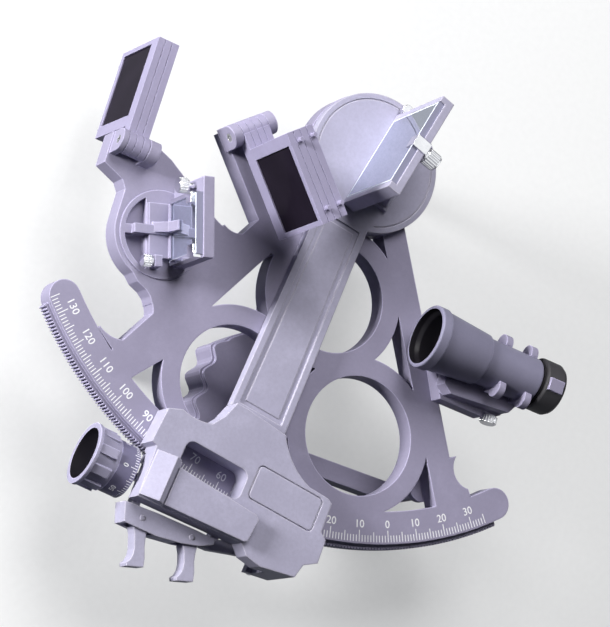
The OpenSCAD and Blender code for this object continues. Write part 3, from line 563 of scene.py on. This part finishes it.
@dataclass(frozen=True)
class LensGlass(Finish):
    """Clear coated glass of a lens."""

    light_shade: float = 1.4
    roughness: float = 0.02
    roughness_spread: float = 0.03
    clearness: float = 0.25
    coat: float = 0.5

    def paint(self, sheet: NodeSheet, surface: bpy.types.Node, where: Socket) -> None:
        """Sets the shader.

        Args:
            sheet: the material's node sheet.
            surface: the Principled shader.
            where: the Object coordinates.
        """
        film = sheet.noise(where, LENS_FILM)
        tone = sheet.spread(film, LENS_FILM, self.colour, shade(self.colour, self.light_shade))
        sheet.feed(tone, surface, "Base Color")
        sheet.feed(sheet.line(film, self.roughness_spread, self.roughness), surface, "Roughness")
        surface.inputs["Transmission Weight"].default_value = self.clearness
        surface.inputs["Coat Weight"].default_value = self.coat


@dataclass(frozen=True)
class SoftRubber(Finish):
    """Matt black rubber with a fine grain and a faint pale bloom."""

    bloom_shade: float = 1.9
    roughness: float = 0.52
    roughness_spread: float = 0.15
    grain: float = 0.25
    grain_depth: float = 0.0001
    edge_mm: float = 0.5

    def paint(self, sheet: NodeSheet, surface: bpy.types.Node, where: Socket) -> None:
        """Sets the shader.

        Args:
            sheet: the material's node sheet.
            surface: the Principled shader.
            where: the Object coordinates.
        """
        bloom = sheet.noise(where, RUBBER_BLOOM)
        tone = sheet.spread(bloom, RUBBER_BLOOM, self.colour, shade(self.colour, self.bloom_shade))
        sheet.feed(tone, surface, "Base Color")
        sheet.feed(sheet.line(bloom, self.roughness_spread, self.roughness), surface, "Roughness")
        grain = sheet.noise(where, RUBBER_GRAIN)
        sheet.feed(sheet.bump(grain, self.grain, self.grain_depth, sheet.rounding(self.edge_mm)),
                   surface, "Normal")


@dataclass(frozen=True)
class FillPaint(Finish):
    """Matt paint of a mark, slightly worn."""

    worn_shade: float = 0.88
    roughness: float = 0.6

    def paint(self, sheet: NodeSheet, surface: bpy.types.Node, where: Socket) -> None:
        """Sets the shader.

        Args:
            sheet: the material's node sheet.
            surface: the Principled shader.
            where: the Object coordinates.
        """
        wear = sheet.noise(where, PAINT_WEAR)
        tone = sheet.spread(wear, PAINT_WEAR, shade(self.colour, self.worn_shade), self.colour)
        sheet.feed(tone, surface, "Base Color")
        surface.inputs["Roughness"].default_value = self.roughness


@dataclass
class Wardrobe:
    """The materials, each made when a node first asks for it."""

    made: dict[str, bpy.types.Material] = field(default_factory=dict)

    def get(self, finish: Finish) -> bpy.types.Material:
        """Makes a finish once and keeps it.

        Args:
            finish: the finish.

        Returns:
            Its material.
        """
        if finish.name not in self.made:
            self.made[finish.name] = finish.make()
        return self.made[finish.name]

    def dress(self, node: str, finish: Finish) -> None:
        """Gives a CAD node its finish.

        Args:
            node: the node's name.
            finish: the finish.
        """
        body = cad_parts[node]
        material = self.get(finish)
        if body.material_slots:
            for slot in body.material_slots:
                slot.material = material
        else:
            body.data.materials.append(material)
        log.info("dressed %s in %s", node, finish.name)


SILVER = (0.58, 0.62, 0.71)
FRAME_PLASTIC = MouldedPlastic("frame_plastic", (0.300, 0.282, 0.395))
ARM_PLASTIC = MouldedPlastic("arm_plastic", (0.400, 0.388, 0.512), roughness=0.42, wear=0.24,
                             variation=0.06, mottle=0.30, rub=0.45)
SHADE_PLASTIC = MouldedPlastic("shade_plastic", (0.310, 0.290, 0.422), roughness=0.4, edge_mm=0.35)
BLACK_PLASTIC = MouldedPlastic("black_plastic", (0.018, 0.017, 0.020), roughness=0.38,
                               variation=0.12, rub=0.8)
DIAL_PLASTIC = MouldedPlastic("dial_plastic", (0.160, 0.152, 0.240), roughness=0.40)
DRUM_PLASTIC = LinedPlastic("drum_plastic", (0.325, 0.312, 0.430), roughness=0.4,
                            axis_point=tuple(worm_centre()), axis=heading(WORM_DEG))
SCOPE_PLASTIC = LinedPlastic("scope_plastic", (0.212, 0.206, 0.292), roughness=0.36,
                             axis_point=SCOPE_AXIS, axis=heading(0.0))
CHROME = PolishedMetal("chrome", (0.93, 0.93, 0.95))
INDEX_MIRROR = SilveredGlass("index_silvering", SILVER, facing=heading(INDEX_MIRROR_DEG))
HORIZON_MIRROR = SilveredGlass("horizon_silvering", SILVER, facing=heading(HORIZON_MIRROR_DEG))
LENS = LensGlass("lens_glass", (0.03, 0.03, 0.05))
RUBBER = SoftRubber("black_rubber", (0.014, 0.013, 0.016))
PAINT = FillPaint("white_fill", (0.86, 0.86, 0.90))
# A pale matt paint, painted as the highlight on a mirror's bevel.
BEVEL_HIGHLIGHT = FillPaint("bevel_highlight_paint", (0.80, 0.84, 0.95))
FILTERS = [
    DarkFilter("filter_neutral", (0.012, 0.009, 0.016)),
    DarkFilter("filter_green", (0.012, 0.018, 0.014)),
    DarkFilter("filter_amber", (0.024, 0.014, 0.010)),
    DarkFilter("filter_smoke", (0.018, 0.014, 0.022)),
]


# Meshes


def linked(name: str, data: bpy.types.ID) -> bpy.types.Object:
    """Makes an object of its data and links it to the scene.

    Args:
        name: the object's name.
        data: its mesh, curve, lamp or camera.

    Returns:
        The object.
    """
    body = bpy.data.objects.new(name, data)
    bpy.context.scene.collection.objects.link(body)
    return body


def evaluated_mesh(source: bpy.types.Object) -> bpy.types.Mesh:
    """Copies an object's evaluated shape to a plain mesh.

    Args:
        source: the object.

    Returns:
        The mesh.
    """
    deps = bpy.context.evaluated_depsgraph_get()
    deps.update()
    return bpy.data.meshes.new_from_object(source.evaluated_get(deps))


def to_place(mesh: bpy.types.Mesh, place: Matrix) -> bpy.types.Mesh:
    """Puts a mesh that is in millimetres at its place, in metres.

    Args:
        mesh: the mesh.
        place: the placing matrix, in millimetres.

    Returns:
        The same mesh.
    """
    mesh.transform(Matrix.Scale(MM, 4) @ place)
    return mesh


def from_tree(name: str, tree: bpy.types.NodeTree, values: dict[str, float],
              material: bpy.types.Material, place: Matrix) -> bpy.types.Object:
    """Runs a geometry tree and keeps its result as a plain mesh at its place.

    Args:
        name: the new object's name.
        tree: the geometry tree.
        values: the value of each named input.
        material: the material of the result.
        place: the placing matrix, in millimetres.

    Returns:
        The finished object, at the origin, with its place in its mesh.
    """
    seed = linked(f"{name}_seed", bpy.data.meshes.new(f"{name}_seed"))
    modifier = seed.modifiers.new("marks", "NODES")
    modifier.node_group = tree
    for item in tree.interface.items_tree:
        if item.in_out == "INPUT" and item.name in values:
            modifier[item.identifier] = values[item.name]
    mesh = evaluated_mesh(seed)
    seed.modifiers.remove(modifier)
    bpy.data.objects.remove(seed)
    to_place(mesh, place).name = name
    mesh.materials.clear()
    mesh.materials.append(material)
    return linked(name, mesh)


def joined(name: str, meshes: Iterable[bpy.types.Mesh], material: bpy.types.Material) -> bpy.types.Object:
    """Joins finished meshes into one object.

    Args:
        name: the object's name.
        meshes: meshes in metres, each at its place.
        material: the material of all.

    Returns:
        The object.
    """
    points: list[Vector] = []
    faces: list[list[int]] = []
    for mesh in meshes:
        start = len(points)
        points.extend(vertex.co.copy() for vertex in mesh.vertices)
        faces.extend([start + corner for corner in face.vertices] for face in mesh.polygons)
    whole = bpy.data.meshes.new(name)
    whole.from_pydata([tuple(point) for point in points], [], faces)
    whole.materials.append(material)
    whole.update()
    return linked(name, whole)


@dataclass(frozen=True)
class Lettering:
    """The numerals: their height, how far they stand up, and how they are drawn."""

    height: float
    depth: float
    size_per_height: float = 1.38
    thickening: float = 0.012
    curve_steps: int = 3

    def numeral(self, text: str) -> bpy.types.Mesh:
        """Makes a raised numeral, centred on the origin, in millimetres.

        Args:
            text: the digits.

        Returns:
            The mesh.
        """
        curve = bpy.data.curves.new(f"numeral_{text}", "FONT")
        curve.body = text
        curve.size = self.height * self.size_per_height
        curve.align_x = "CENTER"
        curve.align_y = "CENTER"
        curve.extrude = self.depth / 2
        curve.offset = self.thickening * self.height
        curve.resolution_u = self.curve_steps
        holder = linked(f"numeral_{text}", curve)
        mesh = evaluated_mesh(holder)
        bpy.data.objects.remove(holder)
        return mesh


def block(low: Point, high: Point) -> bpy.types.Mesh:
    """Makes a box between two corners, in millimetres.

    Args:
        low: the lowest corner.
        high: the highest corner.

    Returns:
        The mesh.
    """
    across, deep, tall = zip(low, high)
    points = [(x, y, z) for x in across for y in deep for z in tall]
    faces = [(0, 1, 3, 2), (4, 6, 7, 5), (0, 4, 5, 1), (2, 3, 7, 6), (0, 2, 6, 4), (1, 5, 7, 3)]
    mesh = bpy.data.meshes.new("block")
    mesh.from_pydata(points, [], faces)
    mesh.update()
    return mesh


# Marks made with Geometry Nodes


class MarkLayout(Enum):
    """Which way a graduation runs on its circle."""

    RADIAL = "radial"
    AXIAL = "axial"


@dataclass
class MarkRing:
    """A ring or arc of graduations: every fifth is longer, and every tenth longer still."""

    name: str
    layout: MarkLayout
    count: int
    radius: float
    first_deg: float
    step_deg: float
    fine: float
    middle: float
    long: float
    width: float
    depth: float
    first_index: int = 0

    def values(self) -> dict[str, float]:
        """Gives the value of each named input of the tree.

        Returns:
            The values, lengths in millimetres and angles in radians.
        """
        return {
            "Radius": self.radius,
            "First Angle": math.radians(self.first_deg),
            "Step": math.radians(self.step_deg),
            "Fine Length": self.fine,
            "Middle Length": self.middle,
            "Long Length": self.long,
            "Width": self.width,
            "Depth": self.depth,
            "Count": self.count,
            "First Index": self.first_index,
        }

    def lengths(self, sheet: NodeSheet, given: bpy.types.NodeOutputs, index: Socket) -> Socket:
        """Works out how long each mark is.

        Args:
            sheet: the tree's node sheet.
            given: the tree's inputs.
            index: the mark's place in the row.

        Returns:
            The length.
        """
        number = sheet.math("ADD", index, given["First Index"])
        length = given["Fine Length"]
        for period, shorter, longer in ((5, "Fine", "Middle"), (10, "Middle", "Long")):
            gain = sheet.math("SUBTRACT", given[f"{longer} Length"], given[f"{shorter} Length"])
            length = sheet.math("ADD", length, sheet.math("MULTIPLY", sheet.every(number, period), gain))
        return length

    def tree(self, material: bpy.types.Material) -> bpy.types.NodeTree:
        """Builds the node tree that lays the marks round the circle.

        Args:
            material: the paint of the marks.

        Returns:
            The tree.
        """
        tree = bpy.data.node_groups.new(f"{self.name}_tree", "GeometryNodeTree")
        tree.interface.new_socket("Geometry", in_out="OUTPUT", socket_type="NodeSocketGeometry")
        for label, value in self.values().items():
            kind = "NodeSocketInt" if isinstance(value, int) else "NodeSocketFloat"
            tree.interface.new_socket(label, in_out="INPUT", socket_type=kind)
        sheet = NodeSheet(tree)
        given = sheet.add("NodeGroupInput").outputs
        line = sheet.add("GeometryNodeMeshLine")
        sheet.feed(given["Count"], line, "Count")
        sheet.feed(BLACK, line, "Offset")
        index = sheet.add("GeometryNodeInputIndex").outputs[0]
        angle = sheet.math("ADD", given["First Angle"], sheet.math("MULTIPLY", index, given["Step"]))
        length = self.lengths(sheet, given, index)
        half = sheet.math("MULTIPLY", length, 0.5)
        if self.layout is MarkLayout.RADIAL:
            reach, rise = sheet.math("SUBTRACT", given["Radius"], half), 0.0
            sides = (length, given["Width"], given["Depth"])
        else:
            reach, rise = given["Radius"], half
            sides = (given["Depth"], given["Width"], length)
        across = sheet.math("MULTIPLY", reach, sheet.math("COSINE", angle))
        up = sheet.math("MULTIPLY", reach, sheet.math("SINE", angle))
        place, size, turn = (sheet.add("ShaderNodeCombineXYZ") for _ in range(3))
        for node, parts in ((place, (across, up, rise)), (size, sides), (turn, (0.0, 0.0, angle))):
            for spot, part in enumerate(parts):
                sheet.feed(part, node, spot)
        moved = sheet.add("GeometryNodeSetPosition")
        sheet.feed(line.outputs[0], moved, "Geometry")
        sheet.feed(place.outputs[0], moved, "Position")
        laid = sheet.add("GeometryNodeInstanceOnPoints")
        sheet.feed(moved.outputs[0], laid, "Points")
        sheet.feed(sheet.add("GeometryNodeMeshCube").outputs[0], laid, "Instance")
        sheet.feed(turn.outputs[0], laid, "Rotation")
        sheet.feed(size.outputs[0], laid, "Scale")
        real = sheet.add("GeometryNodeRealizeInstances")
        sheet.feed(laid.outputs[0], real, 0)
        coat = sheet.add("GeometryNodeSetMaterial")
        coat.inputs["Material"].default_value = material
        sheet.feed(real.outputs[0], coat, "Geometry")
        sheet.feed(coat.outputs[0], sheet.add("NodeGroupOutput"), 0)
        return tree

    def build(self, material: bpy.types.Material, place: Matrix) -> bpy.types.Object:
        """Makes the marks as one plain mesh.

        Args:
            material: the paint of the marks.
            place: where the circle's centre and plane lie, in millimetres.

        Returns:
            The finished object.
        """
        return from_tree(self.name, self.tree(material), self.values(), material, place)


# Sub-assemblies


@dataclass
class ArcScale:
    """The painted scale on the limb: half degrees of arm, read as whole degrees."""

    low: int = -35
    high: int = 135
    number_step: int = 10
    arm_deg_per_mark: float = 0.5
    zero_deg: float = -70.0
    outer: float = 177.7
    fine: float = 3.1
    middle: float = 4.6
    long: float = 5.4
    mark_width: float = 0.42
    number_radius: float = 169.6
    number_height: float = 3.7
    proud: float = 0.05

    def angle(self, reading: float) -> float:
        """Gives the angle of a reading, in degrees about the pivot."""
        return self.zero_deg - reading * self.arm_deg_per_mark

    def build(self, paint: bpy.types.Material) -> list[bpy.types.Object]:
        """Builds the marks and the numbers.

        Args:
            paint: the paint of the marks.

        Returns:
            The marks and the numbers.
        """
        depth = self.proud * 2
        ring = MarkRing(
            name="scale_marks", layout=MarkLayout.RADIAL, count=self.high - self.low + 1,
            radius=self.outer, first_deg=self.angle(self.low), step_deg=-self.arm_deg_per_mark,
            fine=self.fine, middle=self.middle, long=self.long, width=self.mark_width, depth=depth,
            first_index=self.low,
        )
        marks = ring.build(paint, Matrix.Translation(PIVOT))
        lettering = Lettering(self.number_height, depth)
        lowest = math.ceil(self.low / self.number_step) * self.number_step
        meshes = []
        for reading in range(lowest, self.high + 1, self.number_step):
            turn = turned(self.angle(reading))
            spot = PIVOT + turn @ Vector((self.number_radius, 0.0, 0.0))
            upright = Matrix.Translation(spot) @ turn @ turned(90.0)
            meshes.append(to_place(lettering.numeral(str(abs(reading))), upright))
        return [marks, joined("scale_numbers", meshes, paint)]


@dataclass
class Micrometer:
    """The dial of the micrometer drum: sixty minutes round the drum's inner end."""

    start: float = 58.5
    dial_length: float = 9.5
    radius: float = 12.2
    minutes: int = 60
    number_step: int = 10
    fine: float = 1.7
    middle: float = 2.5
    long: float = 3.2
    mark_width: float = 0.3
    mark_start: float = 0.5
    depth: float = 0.1
    number_height: float = 2.5
    number_back: float = 3.4
    number_lift: float = 0.02

    def place(self) -> Matrix:
        """Gives the drum's frame: Z runs away from the worm along the shaft.

        Returns:
            The placing matrix, in millimetres.
        """
        along = Matrix.Translation((-self.start, 0.0, 0.0))
        return Matrix.Translation(worm_centre()) @ turned(WORM_DEG) @ along @ turned(-90.0, "Y")

    def build(self, paint: bpy.types.Material) -> list[bpy.types.Object]:
        """Builds the marks and the numbers of the dial.

        Args:
            paint: the paint of the marks.

        Returns:
            The marks and the numbers.
        """
        place = self.place()
        minute_deg = 360.0 / self.minutes
        ring = MarkRing(
            name="dial_marks", layout=MarkLayout.AXIAL, count=self.minutes, radius=self.radius,
            first_deg=0.0, step_deg=minute_deg, fine=self.fine, middle=self.middle, long=self.long,
            width=self.mark_width, depth=self.depth,
        )
        marks = ring.build(paint, place @ Matrix.Translation((0.0, 0.0, self.mark_start)))
        lettering = Lettering(self.number_height, self.depth)
        facing_out = Matrix((
            (0, 0, 1, self.radius + self.number_lift),
            (1, 0, 0, 0),
            (0, 1, 0, self.dial_length - self.number_back),
            (0, 0, 0, 1),
        ))
        meshes = []
        for minute in range(0, self.minutes, self.number_step):
            spot = place @ turned(minute * minute_deg) @ facing_out
            meshes.append(to_place(lettering.numeral(str(minute)), spot))
        return [marks, joined("dial_numbers", meshes, paint)]


@dataclass
class MirrorRim:
    """A pale strip round the face of a mirror, painted as the highlight on its bevel.

    The origin is taken from the arm's pivot, face_x is where the face lies in the mirror's own
    frame, and low and high are the glass's lower and upper corner in Y and Z.
    """

    name: str
    origin: Point
    turn_deg: float
    face_x: float
    low: tuple[float, float]
    high: tuple[float, float]
    width: float = 0.8
    inset: float = 0.5
    proud: float = 0.04

    def build(self, material: bpy.types.Material) -> list[bpy.types.Object]:
        """Builds the four strips of the painted bevel highlight.

        Args:
            material: the paint of the painted highlight.

        Returns:
            The painted highlight as one piece.
        """
        low_y, low_z = (part + self.inset for part in self.low)
        high_y, high_z = (part - self.inset for part in self.high)
        inner_low, inner_high = low_z + self.width, high_z - self.width
        strips = [
            (low_y, high_y, low_z, inner_low),
            (low_y, high_y, inner_high, high_z),
            (low_y, low_y + self.width, inner_low, inner_high),
            (high_y - self.width, high_y, inner_low, inner_high),
        ]
        place = Matrix.Translation(PIVOT + Vector(self.origin)) @ turned(self.turn_deg)
        front, back = self.face_x - self.proud, self.face_x + self.proud
        meshes = [
            to_place(block((front, from_y, from_z), (back, to_y, to_z)), place)
            for from_y, to_y, from_z, to_z in strips
        ]
        return [joined(self.name, meshes, material)]


@dataclass
class Looks:
    """Gives every CAD node its finish."""

    chrome: tuple[str, ...] = (
        "handle_screws", "pivot_bolt", "pivot_washer", "pivot_nut", "keeper_screws",
        "index_mirror_clip", "index_clip_screw", "index_adjusting_screw", "carrier_pin",
        "release_spring", "worm_shaft", "horizon_mirror_clips", "horizon_screw_upper",
        "horizon_screw_lower", "index_shade_pin", "horizon_shade_pin", "scope_screw",
    )
    arm: tuple[str, ...] = (
        "index_arm", "arm_housing", "housing_keeper", "worm_cover", "index_mirror_holder",
        "lever_left", "lever_right", "worm_carrier", "lever_pins",
    )
    named: dict[str, Finish] = field(default_factory=lambda: {
        "drum": DRUM_PLASTIC,
        "drum_dial": DIAL_PLASTIC,
        "scope_tube": SCOPE_PLASTIC,
        "eyepiece": BLACK_PLASTIC,
        "index_mirror_glass": INDEX_MIRROR,
        "horizon_mirror_glass": HORIZON_MIRROR,
        "objective_lens": LENS,
        "eye_lens": LENS,
        "feet": RUBBER,
        "eyecup": RUBBER,
    })

    def choose(self, node: str) -> Finish:
        """Chooses a node's finish.

        Args:
            node: the node's name.

        Returns:
            The finish.
        """
        if node in self.chrome:
            return CHROME
        if node in self.arm:
            return ARM_PLASTIC
        if "filter" in node:
            return FILTERS[(int(node[-1]) - 1) % len(FILTERS)]
        if "shade" in node:
            return SHADE_PLASTIC
        return self.named.get(node, FRAME_PLASTIC)

    def apply(self, wardrobe: Wardrobe) -> None:
        """Dresses every node.

        Args:
            wardrobe: the materials.
        """
        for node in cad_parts:
            wardrobe.dress(node, self.choose(node))


# Studio


@dataclass(frozen=True)
class Lamp:
    """A soft square lamp: its place and side in metres, and its power in watts."""

    name: str
    at: Point
    size: float
    power: float
    tint: Colour = (1.0, 0.99, 0.98)
    aim: Point = (0.0, 0.0, 0.05)

    def build(self) -> None:
        """Hangs the lamp and turns it to the sextant."""
        data = bpy.data.lights.new(self.name, "AREA")
        data.shape = "SQUARE"
        data.size = self.size
        data.energy = self.power
        data.color = self.tint
        body = linked(self.name, data)
        body.location = self.at
        aim = Vector(self.aim) - Vector(self.at)
        body.rotation_euler = aim.to_track_quat("-Z", "Y").to_euler()


@dataclass(frozen=True)
class Camera:
    """The camera of the photograph: its place is from the arm's pivot, in millimetres."""

    focal_px: float = 2526.57
    image_px: float = 627.0
    sensor: float = 36.0
    at: Point = (-472.646, -423.408, 1011.946)
    right: Point = (0.843298, 0.257509, 0.471740)
    down: Point = (0.362898, -0.920259, -0.146385)
    forward: Point = (0.396427, 0.294640, -0.869502)
    near: float = 0.05
    far: float = 20.0

    def build(self) -> None:
        """Sets the camera where the photograph was taken from."""
        data = bpy.data.cameras.new("camera")
        data.sensor_width = self.sensor
        data.lens = self.focal_px * self.sensor / self.image_px
        data.clip_start = self.near
        data.clip_end = self.far
        body = linked("camera", data)
        right, down, forward = (Vector(row).normalized() for row in (self.right, self.down, self.forward))
        turn = Matrix((right, -down, -forward)).transposed()
        body.matrix_world = Matrix.Translation((PIVOT + Vector(self.at)) * MM) @ turn.to_4x4()
        bpy.context.scene.camera = body


@dataclass(frozen=True)
class Sky:
    """A weak even sky, seen as a pale backdrop and mirrored as a sky that brightens upward."""

    light: Colour = (0.80, 0.84, 0.95)
    light_strength: float = 0.025
    backdrop: Colour = (0.90, 0.91, 0.93)
    backdrop_strength: float = 0.95
    mirrored: tuple[tuple[float, Colour], ...] = (
        (0.05, (0.05, 0.05, 0.06)),
        (0.40, (0.30, 0.31, 0.34)),
        (0.80, (0.96, 0.98, 1.0)),
    )

    def build(self) -> None:
        """Sets the world."""
        world = bpy.data.worlds.new("studio")
        world.use_nodes = True
        bpy.context.scene.world = world
        sheet = NodeSheet(world.node_tree)
        light = world.node_tree.nodes["Background"]
        light.inputs["Color"].default_value = opaque(self.light)
        light.inputs["Strength"].default_value = self.light_strength
        seen = sheet.add("ShaderNodeBackground")
        seen.inputs["Color"].default_value = opaque(self.backdrop)
        seen.inputs["Strength"].default_value = self.backdrop_strength
        mirrored = sheet.add("ShaderNodeBackground")
        height = sheet.add("ShaderNodeSeparateXYZ")
        sheet.feed(sheet.add("ShaderNodeTexCoord").outputs["Generated"], height, 0)
        sheet.feed(sheet.ramp(height.outputs[2], self.mirrored), mirrored, "Color")
        path = sheet.add("ShaderNodeLightPath").outputs
        result = light.outputs[0]
        for ray, other in (("Is Glossy Ray", mirrored), ("Is Camera Ray", seen)):
            mix = sheet.add("ShaderNodeMixShader")
            sheet.feed(path[ray], mix, 0)
            sheet.feed(result, mix, 1)
            sheet.feed(other.outputs[0], mix, 2)
            result = mix.outputs[0]
        sheet.feed(result, world.node_tree.nodes["World Output"], "Surface")


@dataclass(frozen=True)
class PaperFloor:
    """A plain floor that looks pale, yet bounces little light on the sextant."""

    side: float = 3.0
    seen_dark: Colour = (0.48, 0.485, 0.49)
    seen_light: Colour = (0.50, 0.505, 0.51)
    bounced_dark: Colour = (0.05, 0.06, 0.09)
    bounced_light: Colour = (0.06, 0.07, 0.11)
    mirrored: float = 0.4
    glow: Colour = (0.98, 0.99, 1.0)
    glow_strength: float = 0.40
    roughness: float = 0.85
    gloss: float = 0.1

    def material(self) -> bpy.types.Material:
        """Makes the paper.

        Returns:
            The material.
        """
        material = bpy.data.materials.new("floor_paper")
        material.use_nodes = True
        surface = material.node_tree.nodes["Principled BSDF"]
        sheet = NodeSheet(material.node_tree)
        fleck = sheet.noise(sheet.add("ShaderNodeTexCoord").outputs["Object"], PAPER_FLECK)
        seen = sheet.spread(fleck, PAPER_FLECK, self.seen_dark, self.seen_light)
        bounced = sheet.spread(fleck, PAPER_FLECK, self.bounced_dark, self.bounced_light)
        path = sheet.add("ShaderNodeLightPath").outputs
        mirrored = sheet.math("MULTIPLY", path["Is Glossy Ray"], self.mirrored)
        through = sheet.math("ADD", path["Is Transmission Ray"], mirrored)
        shown = sheet.math("ADD", path["Is Camera Ray"], through, clamp=True)
        sheet.feed(sheet.blend(shown, bounced, seen), surface, "Base Color")
        surface.inputs["Emission Color"].default_value = opaque(self.glow)
        sheet.feed(sheet.math("MULTIPLY", shown, self.glow_strength), surface, "Emission Strength")
        surface.inputs["Roughness"].default_value = self.roughness
        surface.inputs["Specular IOR Level"].default_value = self.gloss
        return material

    def build(self) -> None:
        """Lays the floor under the feet."""
        mesh = bpy.data.meshes.new("floor")
        corners = [(-1, -1), (1, -1), (1, 1), (-1, 1)]
        mesh.from_pydata([(x * self.side, y * self.side, 0) for x, y in corners], [], [(0, 1, 2, 3)])
        mesh.materials.append(self.material())
        body = linked("floor", mesh)


@dataclass(frozen=True)
class Studio:
    """The floor, the sky, two soft lamps and the camera."""

    side_lamp: Lamp = Lamp("side_lamp", (-1.20, 0.06, 0.36), 0.32, 27.0)
    top_lamp: Lamp = Lamp("top_lamp", (-0.25, 1.10, 1.50), 1.10, 32.0)

    def build(self) -> None:
        """Sets up the whole studio."""
        bpy.context.scene.view_settings.view_transform = "Standard"
        for piece in (Camera(), Sky(), PaperFloor(), self.side_lamp, self.top_lamp):
            piece.build()


def report(piece: bpy.types.Object, body: str) -> None:
    """Rides a piece on its body and logs it.

    Args:
        piece: the piece.
        body: the CAD body that carries it.
    """
    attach(piece, body)
    log.info("built %s on %s", piece.name, body)


def main() -> None:
    """Builds the scene in order."""
    logging.basicConfig(level=logging.INFO, format="%(message)s")
    wardrobe = Wardrobe()
    Looks().apply(wardrobe)
    index_rim = MirrorRim(
        "index_mirror_bevel_highlight", origin=(0.0, 0.0, 0.0), turn_deg=INDEX_MIRROR_DEG, face_x=-3.0,
        low=(-24.0, 5.4), high=(24.0, 47.4),
    )
    horizon_rim = MirrorRim(
        "horizon_mirror_bevel_highlight", origin=(-87.2, -71.5, 0.0), turn_deg=HORIZON_MIRROR_DEG, face_x=0.0,
        low=(-14.05, 1.0), high=(13.95, 30.0),
    )
    for assembly, finish, body in (
        (ArcScale(), PAINT, "frame_body"),
        (Micrometer(), PAINT, "drum_body"),
        (index_rim, BEVEL_HIGHLIGHT, "arm_body"),
        (horizon_rim, BEVEL_HIGHLIGHT, "frame_body"),
    ):
        for piece in assembly.build(wardrobe.get(finish)):
            report(piece, body)
    Studio().build()


if __name__ == "__main__":
    main()
